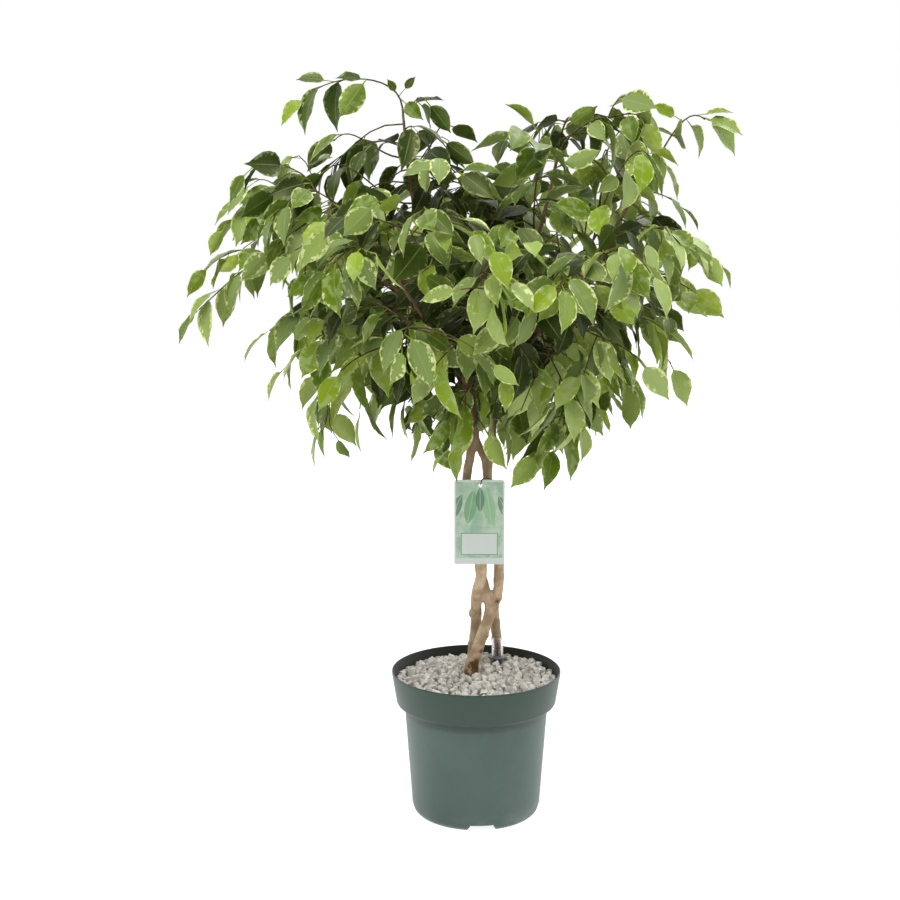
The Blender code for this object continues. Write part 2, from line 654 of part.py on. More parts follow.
for number, (twig, path) in enumerate(stemWork):
    draw = random.Random(leafSeed + number)
    reach = pathLength(path)
    count = max(4, round((reach - 0.03) / leafSpacing))
    ownTwig = solids[1 + number]
    leaves = []
    taken = [entry for entry in solids if entry is not ownTwig]
    for index in range(count):
        last = index == count - 1
        spot, along = pathStation(path, reach - 0.004 if last else reach - (count - 1 - index) * leafSpacing)
        hand = (-1) ** index
        for attempt in range(leafAttempts):
            level = across(along.cross(down), along)
            outward = Vector((spot.x, spot.y, (spot.z - crownHeart.z) * 0.8)).normalized()
            stalkWay = jittered(draw, along * 0.6 + level * hand * 0.8 + Vector((0.0, 0.0, 0.1)), 0.25)
            bladeWay = jittered(draw, level * hand * 0.5 + along * 0.45 + down * draw.uniform(0.5, 1.1), 0.3)
            stalkWay = (stalkWay + bladeWay * 0.35).normalized()
            if last:
                stalkWay = along
                bladeWay = jittered(draw, along + down * 0.4, 0.2)
            facing = across(jittered(draw, outward * 0.6 + Vector((0.0, 0.0, 0.4)), 1.1), bladeWay)
            length = leafLength * draw.uniform(0.86, 1.12) * (0.85 if last else 1.0)
            probe = leafMesh(spot, stalkWay, bladeWay, facing, length, leafClearance)
            tree = BVHTree.FromBMesh(probe)
            probe.free()
            middle = spot + stalkWay * stalkLength + bladeWay * length / 2
            size = length * 0.75
            if not any((spotted - middle).length < girth + size and tree.overlap(other)
                       for spotted, girth, other in taken):
                build = leafMesh(spot, stalkWay, bladeWay, facing, length, 0.0)
                leaves.append(addObject("leaf", meshFromBmesh("leaf", build), cutters, leafGreen))
                taken.append((middle, size, tree))
                solids.append((middle, size, tree))
                break
    fuse(twig, leaves)

# The origin goes to the bottom centre of the finished part's box

corners = []
for item in parts.objects:
    finished = item.evaluated_get(bpy.context.evaluated_depsgraph_get())
    corners.extend(finished.matrix_world @ Vector(corner) for corner in finished.bound_box)
low = Vector([min(corner[axis] for corner in corners) for axis in range(3)])
high = Vector([max(corner[axis] for corner in corners) for axis in range(3)])
shift = Vector(((low.x + high.x) / 2, (low.y + high.y) / 2, low.z))
for item in list(parts.objects) + list(cutters.objects):
    item.location -= shift
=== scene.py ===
# The looks of the potted weeping fig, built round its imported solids.
# Metres, +Z up, the front with the tag is -Y. Sizes and places in millimetres are multiplied by mm.

import math
import random

import bmesh
import bpy
from mathutils import Matrix, Vector, noise
from mathutils.bvhtree import BVHTree
from mathutils.kdtree import KDTree


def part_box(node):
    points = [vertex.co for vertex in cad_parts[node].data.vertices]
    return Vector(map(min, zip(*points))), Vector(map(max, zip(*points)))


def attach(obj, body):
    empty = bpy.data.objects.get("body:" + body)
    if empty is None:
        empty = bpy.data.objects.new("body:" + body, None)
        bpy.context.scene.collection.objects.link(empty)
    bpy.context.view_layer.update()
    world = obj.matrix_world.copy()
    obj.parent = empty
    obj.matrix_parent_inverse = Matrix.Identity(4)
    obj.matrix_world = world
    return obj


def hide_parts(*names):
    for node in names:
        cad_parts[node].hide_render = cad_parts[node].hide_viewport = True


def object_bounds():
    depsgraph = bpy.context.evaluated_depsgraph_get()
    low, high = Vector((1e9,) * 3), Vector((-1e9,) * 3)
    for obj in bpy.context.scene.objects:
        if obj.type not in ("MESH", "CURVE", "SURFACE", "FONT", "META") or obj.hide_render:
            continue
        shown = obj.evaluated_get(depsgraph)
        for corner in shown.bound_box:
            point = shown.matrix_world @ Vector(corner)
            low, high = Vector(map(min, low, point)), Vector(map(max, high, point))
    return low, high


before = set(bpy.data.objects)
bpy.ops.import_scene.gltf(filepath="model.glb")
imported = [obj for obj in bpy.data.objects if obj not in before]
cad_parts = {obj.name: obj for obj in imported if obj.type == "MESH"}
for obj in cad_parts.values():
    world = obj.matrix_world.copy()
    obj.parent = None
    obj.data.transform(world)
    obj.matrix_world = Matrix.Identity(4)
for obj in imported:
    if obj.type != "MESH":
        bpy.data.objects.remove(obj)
cadLow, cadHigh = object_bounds()

mm = 0.001
weld = 0.00002  # points nearer than this are one
down = Vector((0.0, 0.0, -1.0))
rise = Vector((0.0, 0.0, 0.02))  # added to the way to a tip, so that a shoot leaves a little upwards
potLow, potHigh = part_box("pot")
potAxis = Vector(((potLow.x + potHigh.x) / 2, (potLow.y + potHigh.y) / 2, 0.0))
print("frame loaded, pot axis at", tuple(round(value, 4) for value in potAxis))


# Helpers for nodes

# Places a node with its settings and inputs; an input is a value or another node's output.
def node(tree, kind, inputs=None, **settings):
    made = tree.nodes.new("ShaderNode" + kind)
    for name, value in settings.items():
        setattr(made, name, value)
    for key, value in (inputs or {}).items():
        if isinstance(value, bpy.types.NodeSocket):
            tree.links.new(value, made.inputs[key])
        else:
            made.inputs[key].default_value = value
    return made


def maths(tree, operation, first, second=0.0):
    return node(tree, "Math", {0: first, 1: second}, operation=operation).outputs[0]


def times(tree, first, second):
    return maths(tree, "MULTIPLY", first, second)


def plus(tree, first, second):
    return maths(tree, "ADD", first, second)


def minus(tree, first, second):
    return maths(tree, "SUBTRACT", first, second)


# A soft step from 0 at low to 1 at high.
def ramp(tree, value, low, high):
    return node(tree, "MapRange", {"Value": value, "From Min": low, "From Max": high},
                interpolation_type="SMOOTHSTEP").outputs["Result"]


# The second colour over the first where the factor is 1, never more of it than the share given as most.
def blend(tree, factor, first, second, most=1.0):
    factor = times(tree, factor, most) if most < 1.0 else factor
    return node(tree, "Mix", {0: factor, 6: first, 7: second}, data_type="RGBA").outputs[2]


def shade(hue, amount):
    return tuple(min(1.0, channel * amount) for channel in hue[:3]) + (1.0,)


def objectPlace(tree):
    return node(tree, "TexCoord").outputs["Object"]


def mapped(tree, place, **changes):
    return node(tree, "Mapping", {"Vector": place, **changes}).outputs[0]


def partsOf(tree, place):
    return node(tree, "SeparateXYZ", {0: place}).outputs


def cloudy(tree, place, scale, detail, roughness=0.5, distortion=0.0):
    return node(tree, "TexNoise", {"Vector": place, "Scale": scale, "Detail": detail, "Roughness": roughness,
                                   "Distortion": distortion}).outputs["Fac"]


def cellular(tree, place, scale):
    return node(tree, "TexVoronoi", {"Vector": place, "Scale": scale}).outputs["Distance"]


def distanceFrom(tree, place, spot):
    return node(tree, "VectorMath", {0: place, 1: spot}, operation="DISTANCE").outputs["Value"]


def newMaterial(name, constants):
    material = bpy.data.materials.new(name)
    material.use_nodes = True
    tree = material.node_tree
    shader = tree.nodes["Principled BSDF"]
    for key, value in constants.items():
        shader.inputs[key].default_value = value
    return material, tree, shader


def newGroup(name, inputs, outputs):
    group = bpy.data.node_groups.new(name, "ShaderNodeTree")
    for label, kind, value in inputs:
        socket = group.interface.new_socket(label, in_out="INPUT", socket_type="NodeSocket" + kind)
        socket.default_value = value
    for label, kind in outputs:
        group.interface.new_socket(label, in_out="OUTPUT", socket_type="NodeSocket" + kind)
    return group, group.nodes.new("NodeGroupInput").outputs, group.nodes.new("NodeGroupOutput").inputs


def useGroup(tree, group, **values):
    made = tree.nodes.new("ShaderNodeGroup")
    made.node_tree = group
    for key, value in values.items():
        made.inputs[key].default_value = value
    return made.outputs


def colourInto(tree, shader, colour):
    tree.links.new(colour, shader.inputs["Base Color"])


# The roughness is least where the patches are 0 and grows by more where they are 1.
def roughInto(tree, shader, patches, least, more):
    tree.links.new(plus(tree, least, times(tree, patches, more)), shader.inputs["Roughness"])


def bumpInto(tree, shader, height, distance, strength=1.0):
    bump = node(tree, "Bump", {"Height": height, "Distance": distance, "Strength": strength})
    tree.links.new(bump.outputs["Normal"], shader.inputs["Normal"])


# Helpers for meshes

# Makes an object out of a bmesh and links it to the scene.
def standObject(name, build):
    mesh = bpy.data.meshes.new(name)
    build.to_mesh(mesh)
    build.free()
    thing = bpy.data.objects.new(name, mesh)
    bpy.context.scene.collection.objects.link(thing)
    return thing


def smoothed(piece, sharpAngle):
    piece.data.shade_smooth()
    piece.data.set_sharp_from_angle(angle=math.radians(sharpAngle))


# Makes a finished piece out of a bmesh, on the root body.
def finishPiece(name, build, materials, replaced=(), sharpAngle=40.0):
    piece = standObject(name, build)
    for material in materials:
        piece.data.materials.append(material)
    smoothed(piece, sharpAngle)
    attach(piece, "root")
    if replaced:
        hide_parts(*replaced)
    return piece


# Runs a modifier on a piece and keeps its result as the piece's mesh.
def applyModifier(piece, kind, **settings):
    step = piece.modifiers.new(kind.lower(), kind)
    for key, value in settings.items():
        setattr(step, key, value)
    depsgraph = bpy.context.evaluated_depsgraph_get()
    finished = bpy.data.meshes.new_from_object(piece.evaluated_get(depsgraph))
    piece.modifiers.clear()
    piece.data = finished


def cutOut(piece, cutterBuild, sharpAngle):
    cutter = standObject("cutter", cutterBuild)
    applyModifier(piece, "BOOLEAN", operation="DIFFERENCE", object=cutter)
    bpy.data.objects.remove(cutter, do_unlink=True)
    smoothed(piece, sharpAngle)


# A turned shape: the profile's points, outer side first, spun round the pot's axis plus a spot.
# Its rings that bend more than a little are rounded off where asked.
def spinProfile(profile, steps, spot=Vector((0.0, 0.0, 0.0)), roundOff=0.0):
    build = bmesh.new()
    corners = [build.verts.new((radius, 0.0, height)) for radius, height in profile]
    for first, second in zip(corners, corners[1:]):
        build.edges.new((first, second))
    bmesh.ops.spin(build, geom=build.verts[:] + build.edges[:], cent=(0.0, 0.0, 0.0), axis=(0.0, 0.0, 1.0),
                   angle=math.tau, steps=steps, use_merge=True)
    bmesh.ops.remove_doubles(build, verts=build.verts, dist=weld)
    bmesh.ops.recalc_face_normals(build, faces=build.faces)
    if roundOff:
        leastBend = math.radians(16)
        rings = [edge for edge in build.edges if edge.is_manifold and edge.calc_face_angle() > leastBend
                 and abs(edge.verts[0].co.z - edge.verts[1].co.z) < weld]
        bmesh.ops.bevel(build, geom=rings, offset=roundOff, segments=2, profile=0.5, affect="EDGES",
                        material=-1, clamp_overlap=True)
    bmesh.ops.translate(build, verts=build.verts, vec=potAxis + spot)
    return build


# A tube through stations of place and radius, made by extruding its end cap from one to the next.
def growTube(build, stations, sides):
    frames = []
    way = (stations[1][0] - stations[0][0]).normalized()
    turn = way.to_track_quat("Z", "Y")
    for number, (place, radius) in enumerate(stations):
        back = stations[max(0, number - 1)][0]
        ahead = stations[min(len(stations) - 1, number + 1)][0]
        newWay = (ahead - back).normalized()
        turn = way.rotation_difference(newWay) @ turn
        way = newWay
        frames.append(Matrix.Translation(place) @ turn.to_matrix().to_4x4() @ Matrix.Scale(radius, 4))
    foot = bmesh.ops.create_circle(build, cap_ends=True, segments=sides, radius=1.0, matrix=frames[0])
    cap = foot["verts"][0].link_faces[0]
    for old, new in zip(frames, frames[1:]):
        made = bmesh.ops.extrude_face_region(build, geom=[cap])["geom"]
        cap = [item for item in made if isinstance(item, bmesh.types.BMFace)][0]
        bmesh.ops.transform(build, matrix=new @ old.inverted(), verts=list(cap.verts))


# A smooth line through rows in millimetres, with the radius too where the rows have one.
def smoothPath(rows, steps):
    points = [Vector(row) * mm for row in rows]
    points = [2 * points[0] - points[1]] + points + [2 * points[-1] - points[-2]]
    path = []
    for a, b, c, d in zip(points, points[1:], points[2:], points[3:]):
        for index in range(steps):
            t = index / steps
            path.append(0.5 * (2 * b + (c - a) * t + (2 * a - 5 * b + 4 * c - d) * t ** 2
                               + (3 * b - a - 3 * c + d) * t ** 3))
    path.append(points[-2])
    return path


def stationsOf(path):
    return [(Vector(stop[:3]) + potAxis, stop[3]) for stop in path]


# Camera and studio

studio = {
    "lens": 64.16,
    "sensor": 36.0,
    "cameraPlace": Vector((-0.0373, -2.2, 0.909)),  # from the pot's axis on the floor
    "cameraPitch": 9.92,
    "backdrop": (1.0, 1.0, 1.0, 1.0),
    "sideLight": (1.10, 1.11, 1.13, 1.0),
    "frontLight": (0.20, 0.204, 0.21, 1.0),
    "lightTurn": (0.1, -0.8),  # the y of the way where the side's light starts to fade, and where it ends
    "aim": Vector((0.0, 0.0, 0.6)),
    # each lamp's place, size and power
    "lamps": {"key": (Vector((-0.4, -1.45, 3.0)), 1.7, 68.0), "rim": (Vector((1.3, 1.2, 2.4)), 1.4, 22.0)},
    "floorSize": 14.0,
    "floorColour": (0.95, 0.95, 0.95, 1.0),
    "floorGlow": (0.85, 0.22, 0.50),  # under the pot, beside it and far out
    "underPot": (0.096, 0.088),  # where the glow beside the pot goes over into that under it
    "farOut": (0.5, 2.0),
}


def addStudio():
    scene = bpy.context.scene
    scene.view_settings.view_transform = "Standard"
    camera = bpy.data.objects.new("camera", bpy.data.cameras.new("camera"))
    camera.data.lens = studio["lens"]
    camera.data.sensor_width = studio["sensor"]
    camera.location = potAxis + studio["cameraPlace"]
    camera.rotation_euler = (math.radians(90.0 - studio["cameraPitch"]), 0.0, 0.0)
    scene.collection.objects.link(camera)
    scene.camera = camera

    world = bpy.data.worlds.new("studio")
    world.use_nodes = True
    tree = world.node_tree
    way = partsOf(tree, node(tree, "TexCoord").outputs["Generated"])["Y"]
    light = blend(tree, ramp(tree, way, *studio["lightTurn"]), studio["sideLight"], studio["frontLight"])
    lighting = node(tree, "Background", {"Color": light})
    backdrop = node(tree, "Background", {"Color": studio["backdrop"]})
    seen = node(tree, "LightPath").outputs["Is Camera Ray"]
    both = node(tree, "MixShader", {0: seen, 1: lighting.outputs[0], 2: backdrop.outputs[0]})
    tree.links.new(both.outputs[0], tree.nodes["World Output"].inputs["Surface"])
    scene.world = world

    for name, (place, size, power) in studio["lamps"].items():
        lamp = bpy.data.lights.new(name + "_light", "AREA")
        lamp.shape = "DISK"
        lamp.size = size
        lamp.energy = power
        light = bpy.data.objects.new(name + "_light", lamp)
        light.location = potAxis + place
        light.rotation_euler = (studio["aim"] - place).to_track_quat("-Z", "Y").to_euler()
        scene.collection.objects.link(light)

    build = bmesh.new()
    bmesh.ops.create_grid(build, x_segments=8, y_segments=8, size=studio["floorSize"] / 2)
    floor = standObject("studio_floor", build)
    material, tree, shader = newMaterial("studio_floor", {
        "Base Color": studio["floorColour"], "Roughness": 0.9, "Specular IOR Level": 0.1,
        "Emission Strength": 1.0})
    spread = distanceFrom(tree, objectPlace(tree), potAxis)
    under, near, far = (shade(studio["floorColour"], glow) for glow in studio["floorGlow"])
    beside = blend(tree, ramp(tree, spread, *studio["farOut"]), near, far)
    glow = blend(tree, ramp(tree, spread, *studio["underPot"]), beside, under)
    tree.links.new(glow, shader.inputs["Emission Color"])
    floor.data.materials.append(material)


addStudio()
print("studio ready")


# Fine speckle and soft patches, used by the plastics, the card and the leaves.
grain, grainIn, grainOut = newGroup("fineGrain", [("Scale", "Float", 900.0), ("Patch Scale", "Float", 14.0)],
                                    [("Speckle", "Float"), ("Patches", "Float")])
grainPlace = objectPlace(grain)
grain.links.new(cloudy(grain, grainPlace, grainIn["Scale"], 2.0, 0.6), grainOut["Speckle"])
grain.links.new(cloudy(grain, grainPlace, grainIn["Patch Scale"], 4.0, 0.6), grainOut["Patches"])


# Pot

pot = {
    "height": 0.2075,
    "rimRadius": 0.120,
    "collarFootRadius": 0.113,
    "collarHeight": 0.047,
    "shoulderRadius": 0.1015,
    "baseRadius": 0.0915,
    "wall": 0.0016,
    "footRecess": 0.0095,
    "steps": 112,
    "rounding": 0.0007,
    "notchWidth": 0.0426,
    "notchTopShare": 0.76,
    "notchHeight": 0.0085,
    "notchDepth": 0.040,
    "notchCount": 3,
    "notchTurn": math.radians(4.5),
    "drainRadius": 0.006,
    "drainRing": 0.055,
    "drainCount": 6,
    "colour": (0.057, 0.095, 0.079),
    "collarColour": (0.016, 0.039, 0.024, 1.0),
    # painted shade on the body under the collar's step
    "underCollarShade": (0.010, 0.020, 0.014, 1.0),
    # painted shade on the inner wall above the pumice
    "innerWallShade": (0.010, 0.013, 0.008, 1.0),
    "dust": (0.33, 0.34, 0.32, 1.0),
}
collarFoot = pot["height"] - pot["collarHeight"]
collarLean = (pot["rimRadius"] - pot["collarFootRadius"]) / pot["collarHeight"]


def potPlastic():
    material, tree, shader = newMaterial("potPlastic", {
        "Specular IOR Level": 0.4, "Sheen Weight": 0.085, "Sheen Roughness": 0.5})
    fine = useGroup(tree, grain)
    patches = fine["Patches"]
    place = objectPlace(tree)
    height = partsOf(tree, place)["Z"]
    dark, light, pale = (shade(pot["colour"], share) for share in (0.93, 1.1, 1.9))
    colour = blend(tree, ramp(tree, patches, 0.35, 0.7), dark, light)
    # dust settles near the floor
    dust = times(tree, ramp(tree, patches, 0.45, 0.75), ramp(tree, height, 0.03, 0.0))
    colour = blend(tree, dust, colour, pot["dust"], 0.35)
    scratches = cloudy(tree, mapped(tree, place, Scale=(260.0, 260.0, 14.0)), 1.0, 3.0)
    colour = blend(tree, ramp(tree, scratches, 0.70, 0.78), colour, pale, 0.25)
    # the collar is deeper than the body; right under it the body gets painted shade from the collar's step
    onCollar = ramp(tree, height, collarFoot - 0.004, collarFoot + 0.002)
    colour = blend(tree, onCollar, colour, pot["collarColour"], 0.8)
    collarShadeBand = times(tree, ramp(tree, height, collarFoot - 0.017, collarFoot - 0.005),
                    ramp(tree, height, collarFoot + 0.0015, collarFoot - 0.0005))
    colour = blend(tree, collarShadeBand, colour, pot["underCollarShade"], 0.85)
    # the inner wall above the pumice is darkened with painted shade inside the rim
    flat = mapped(tree, place, Location=-potAxis, Scale=(1.0, 1.0, 0.0))
    out = distanceFrom(tree, flat, (0.0, 0.0, 0.0))
    outside = plus(tree, pot["collarFootRadius"], times(tree, minus(tree, height, collarFoot), collarLean))
    within = ramp(tree, minus(tree, outside, out), 0.0009, 0.0014)
    colourInto(tree, shader, blend(tree, times(tree, within, onCollar), colour, pot["innerWallShade"], 0.75))
    roughInto(tree, shader, patches, 0.40, 0.16)
    bumpInto(tree, shader, fine["Speckle"], 0.00006, 0.8)
    return material


def makePot():
    rim, foot, shoulder, base = (pot[key] for key in (
        "rimRadius", "collarFootRadius", "shoulderRadius", "baseRadius"))
    top, wall, recess = pot["height"], pot["wall"], pot["footRecess"]
    outer = [
        (rim - wall, top), (rim, top - 0.0006), (rim, top - 0.0040), (foot + 0.0004, collarFoot + 0.002),
        (foot - 0.0010, collarFoot), (shoulder + 0.0022, collarFoot - 0.0046),
        (shoulder, collarFoot - 0.0105), (base, 0.0120), (base - 0.0020, 0.0042), (base - 0.0060, 0.0),
        (base - 0.0079, 0.0), (base - 0.0036, 0.0046), (base - 0.0030, recess), (0.0, recess),
    ]
    inner = [
        (0.0, recess + wall), (base - wall - 0.0020, recess + wall), (base - wall, recess + 0.0040),
        (shoulder - wall, collarFoot - 0.0090), (shoulder + 0.0022 - wall, collarFoot - 0.0031),
        (foot - 0.0022, collarFoot + 0.0018),
    ]
    build = spinProfile(outer + inner + outer[:1], pot["steps"], roundOff=pot["rounding"])
    piece = finishPiece("grow_pot", build, [potPlastic()], ["pot"], 30.0)
    cutters = bmesh.new()
    size = Matrix.Diagonal((pot["notchWidth"], pot["notchDepth"], pot["notchHeight"] + 2 * mm, 1.0))
    reach = Matrix.Translation((0.0, -base, pot["notchHeight"] / 2 - mm))
    for index in range(pot["notchCount"]):
        made = bmesh.ops.create_cube(cutters, size=1.0)["verts"]
        bmesh.ops.transform(cutters, matrix=reach @ size, verts=made)
        for vertex in made:
            if vertex.co.z > 0.0:
                vertex.co.x *= pot["notchTopShare"]
        turn = Matrix.Rotation(pot["notchTurn"] + index * math.tau / pot["notchCount"], 4, "Z")
        bmesh.ops.transform(cutters, matrix=Matrix.Translation(potAxis) @ turn, verts=made)
    for index in range(pot["drainCount"]):
        turn = pot["notchTurn"] + (index + 0.5) * math.tau / pot["drainCount"]
        away = Vector((math.cos(turn), math.sin(turn), 0.0)) * pot["drainRing"]
        spot = potAxis + away + Vector((0.0, 0.0, 0.010))
        bmesh.ops.create_cone(cutters, cap_ends=True, segments=20, radius1=pot["drainRadius"],
                              radius2=pot["drainRadius"], depth=0.012, matrix=Matrix.Translation(spot))
    cutOut(piece, cutters, 30.0)


makePot()
print("pot made")


# Potting mix and the pumice on it

pumice = {
    "moundTop": 0.2025,
    "moundEdge": 0.1905,
    "backLeftDrop": 0.004,
    "layerFoot": 0.1823,
    "bedDrop": 0.0045,
    "backRise": 0.0034,
    "tries": 8680,
    "sizes": (0.0042, 0.0080),
    "spacing": 0.74,
    "sunk": 0.0012,
    "shake": 0.0012,
    "lumps": (1.3, 0.60),  # how many to a radius, and how strong
    "pits": (3.1, 0.30),
    "holeLevels": (0.185, 0.230),
    "seed": 11,
    "colour": (0.72, 0.685, 0.62),
    "rust": (0.40, 0.33, 0.24),
}


def moundHeight(x, y):
    out = min(1.0, math.hypot(x, y) / pot["rimRadius"])
    lowBackLeft = pumice["backLeftDrop"] * max(0.0, (y - x) / (2 * pot["rimRadius"]))
    return pumice["moundTop"] - (pumice["moundTop"] - pumice["moundEdge"]) * out ** 2.2 - lowBackLeft


def soilMaterial():
    material, tree, shader = newMaterial("pottingMix", {"Roughness": 0.95})
    place = objectPlace(tree)
    crumbs = cloudy(tree, place, 320.0, 6.0, 0.7)
    base = blend(tree, ramp(tree, crumbs, 0.3, 0.7), (0.018, 0.012, 0.008, 1.0), (0.085, 0.055, 0.034, 1.0))
    fibres = ramp(tree, cellular(tree, place, 210.0), 0.0, 0.18)
    colourInto(tree, shader, blend(tree, fibres, (0.14, 0.10, 0.06, 1.0), base))
    bumpInto(tree, shader, crumbs, 0.0012)
    return material


def pumiceMaterial(name, brightness):
    material, tree, shader = newMaterial(name, {"Roughness": 0.95, "Specular IOR Level": 0.25})
    place = objectPlace(tree)
    light, deep, pit = (shade(pumice["colour"], share * brightness) for share in (1.18, 0.72, 0.36))
    crust = cloudy(tree, place, 1400.0, 4.0, 0.7)
    hollow = minus(tree, 1.0, ramp(tree, cellular(tree, place, 900.0), 0.05, 0.38))
    colour = blend(tree, ramp(tree, cloudy(tree, place, 90.0, 3.0), 0.32, 0.68), deep, light)
    colour = blend(tree, hollow, colour, pit, 0.55)
    colour = blend(tree, ramp(tree, crust, 0.55, 0.75), colour, shade(pumice["rust"], brightness), 0.4)
    colourInto(tree, shader, colour)
    bumpInto(tree, shader, minus(tree, crust, times(tree, hollow, 0.9)), 0.0009)
    return material


# Each strand of the trunk, from its foot in the potting mix up: x, y, z and radius in millimetres.
strands = {
    "left": [(-2, 62, 120, 9), (-2, 61, 205, 10), (-1, 47, 240, 8.5), (0, 35, 262, 8), (0, 22, 283, 8),
             (0, 12, 302, 8), (2, 4, 322, 8), (7, -2, 346, 8), (6, -3, 372, 7.5), (-2, -2, 408, 7),
             (-10, 0, 446, 6.5), (-14, 2, 481, 6.5), (-10, 4, 509, 6.5), (-7, 3, 527, 6.5),
             (-3, 2, 543, 6.5), (-5, -1, 562, 6), (-12, -4, 582, 6), (-13, -6, 604, 5.5), (-19, -8, 644, 5)],
    "front": [(-8, -5, 120, 10), (-7, -4, 204, 11), (0, -2, 232, 9), (6, 0, 250, 8.5), (12, 4, 266, 8),
              (18, 8, 282, 8), (20, 13, 297, 8), (15, 14, 312, 8), (10, 13, 328, 8), (5, 19, 352, 7.5),
              (4, 27, 385, 7), (8, 32, 425, 6.5), (13, 30, 458, 6.5), (16, 25, 482, 6.5), (17, 14, 516, 6.5),
              (21, 10, 538, 6), (22, 9, 560, 6), (24, 6, 594, 5.5), (32, 2, 629, 5)],
    "right": [(30, 78, 126, 8), (33, 92, 204, 9), (32, 86, 224, 8), (30, 74, 246, 7.5), (27, 50, 270, 7.5),
              (26, 25, 294, 7.5), (31, 11, 320, 7.5), (32, 6, 346, 7.5), (31, 3, 378, 7), (25, 0, 426, 6),
              (15, 0, 481, 5.5), (12, 4, 507, 5.5), (6, 7, 522, 5.5), (-1, 10, 539, 5.5), (-4, 18, 566, 5),
              (-5, 27, 604, 5), (0, 34, 650, 4.5)],
}
gauge = {
    "spot": Vector((0.032, 0.060, 0.0)),
    "foot": 0.060,
    "tubeRadius": 0.0070,
    "flangeRadius": 0.0135,
    "flangeLevel": 0.2060,
    "flangeThickness": 0.0022,
    "domeRadius": 0.0080,
    "domeHeight": 0.0265,
    "domeWall": 0.0009,
    "floatRadius": 0.0014,
    "floatHeight": 0.0190,
    "bevel": 0.0003,
}


# Where the strands and the gauge pass through the dressing: a middle and a radius for each.
def dressingHoles():
    holes = [(gauge["spot"] + Vector((0.0, 0.0, gauge["flangeLevel"])), gauge["flangeRadius"])]
    lowest, highest = pumice["holeLevels"]
    for rows in strands.values():
        for stop in smoothPath(rows, 4):
            if lowest < stop[2] < highest:
                holes.append((Vector(stop[:3]), stop[3]))
    return holes


# The stones are heaped a little higher towards the back.
def heap(y):
    return pumice["backRise"] * max(0.0, y / pot["rimRadius"]) ** 0.6


# A lumpy, pitted stone, squashed and turned at random.
def addStone(build, draw, spot, size):
    made = bmesh.ops.create_uvsphere(build, u_segments=6, v_segments=5, radius=1.0)["verts"]
    phase = Vector((draw.uniform(0, 90), draw.uniform(0, 90), draw.uniform(0, 90)))
    for vertex in made:
        swell = 1.0
        for closeness, strength in (pumice["lumps"], pumice["pits"]):
            swell += noise.noise(vertex.co * closeness + phase) * strength
        vertex.co *= swell
    squash = Matrix.Diagonal((draw.uniform(0.9, 1.15), draw.uniform(0.8, 1.05), draw.uniform(0.7, 0.95), 1.0))
    tilt = Matrix.Rotation(draw.uniform(0, math.tau), 4, phase.normalized())
    place = Matrix.Translation(potAxis + spot) @ tilt @ squash @ Matrix.Scale(size, 4)
    bmesh.ops.transform(build, verts=made, matrix=place)


def makeDressing():
    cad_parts["potting_mix"].data.materials.clear()
    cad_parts["potting_mix"].data.materials.append(soilMaterial())
    bed = bmesh.new()
    bed.from_mesh(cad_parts["top_dressing"].data)
    bmesh.ops.remove_doubles(bed, verts=bed.verts, dist=weld)
    for vertex in bed.verts:
        if vertex.co.z > pumice["layerFoot"] + pumice["bedDrop"]:
            vertex.co.z += heap(vertex.co.y - potAxis.y) - pumice["bedDrop"]
    # the bed under the stones takes a darker copy of the pumice: painted shade in the gaps between them
    finishPiece("pumice_bed", bed, [pumiceMaterial("pumiceBedPaintedShade", 0.55)], ["top_dressing"], 30.0)

    draw = random.Random(pumice["seed"])
    holes = dressingHoles()
    edge = pot["collarFootRadius"] - pot["wall"] + (pumice["moundEdge"] - collarFoot) * collarLean
    grains = []
    build = bmesh.new()
    for attempt in range(pumice["tries"]):
        size = draw.uniform(*pumice["sizes"])
        turn = draw.uniform(0.0, math.tau)
        out = math.sqrt(draw.random()) * (edge - size * 1.05)
        x, y = out * math.cos(turn), out * math.sin(turn)
        lift = heap(y) - pumice["sunk"]
        spot = Vector((x, y, moundHeight(x, y) + lift + draw.uniform(-1, 1) * pumice["shake"]))
        if any((spot - other).length < (size + reach) * pumice["spacing"] for other, reach in grains):
            continue
        if any(math.hypot(x - hole.x, y - hole.y) < radius + size * 0.95 and abs(spot.z - hole.z) < 0.02
               for hole, radius in holes):
            continue
        grains.append((spot, size))
        addStone(build, draw, spot, size)
    bmesh.ops.recalc_face_normals(build, faces=build.faces)
    finishPiece("pumice_grains", build, [pumiceMaterial("pumiceStone", 1.0)], (), 50.0)
    print("pumice grains:", len(grains))


makeDressing()


# Water gauge

def plainPlastic(name, colour, roughness):
    material, tree, shader = newMaterial(name, {})
    fine = useGroup(tree, grain)
    colourInto(tree, shader, blend(tree, fine["Patches"], shade(colour, 0.85), shade(colour, 1.2)))
    roughInto(tree, shader, fine["Patches"], roughness, 0.1)
    bumpInto(tree, shader, fine["Speckle"], 0.00004, 0.7)
    return material


def clearPlastic():
    material, tree, shader = newMaterial("gaugeClear", {"IOR": 1.25, "Transmission Weight": 1.0})
    patches = useGroup(tree, grain)["Patches"]
    colourInto(tree, shader, blend(tree, patches, (0.95, 0.97, 0.97, 1.0), (1.0, 1.0, 1.0, 1.0)))
    roughInto(tree, shader, patches, 0.08, 0.3)
    return material


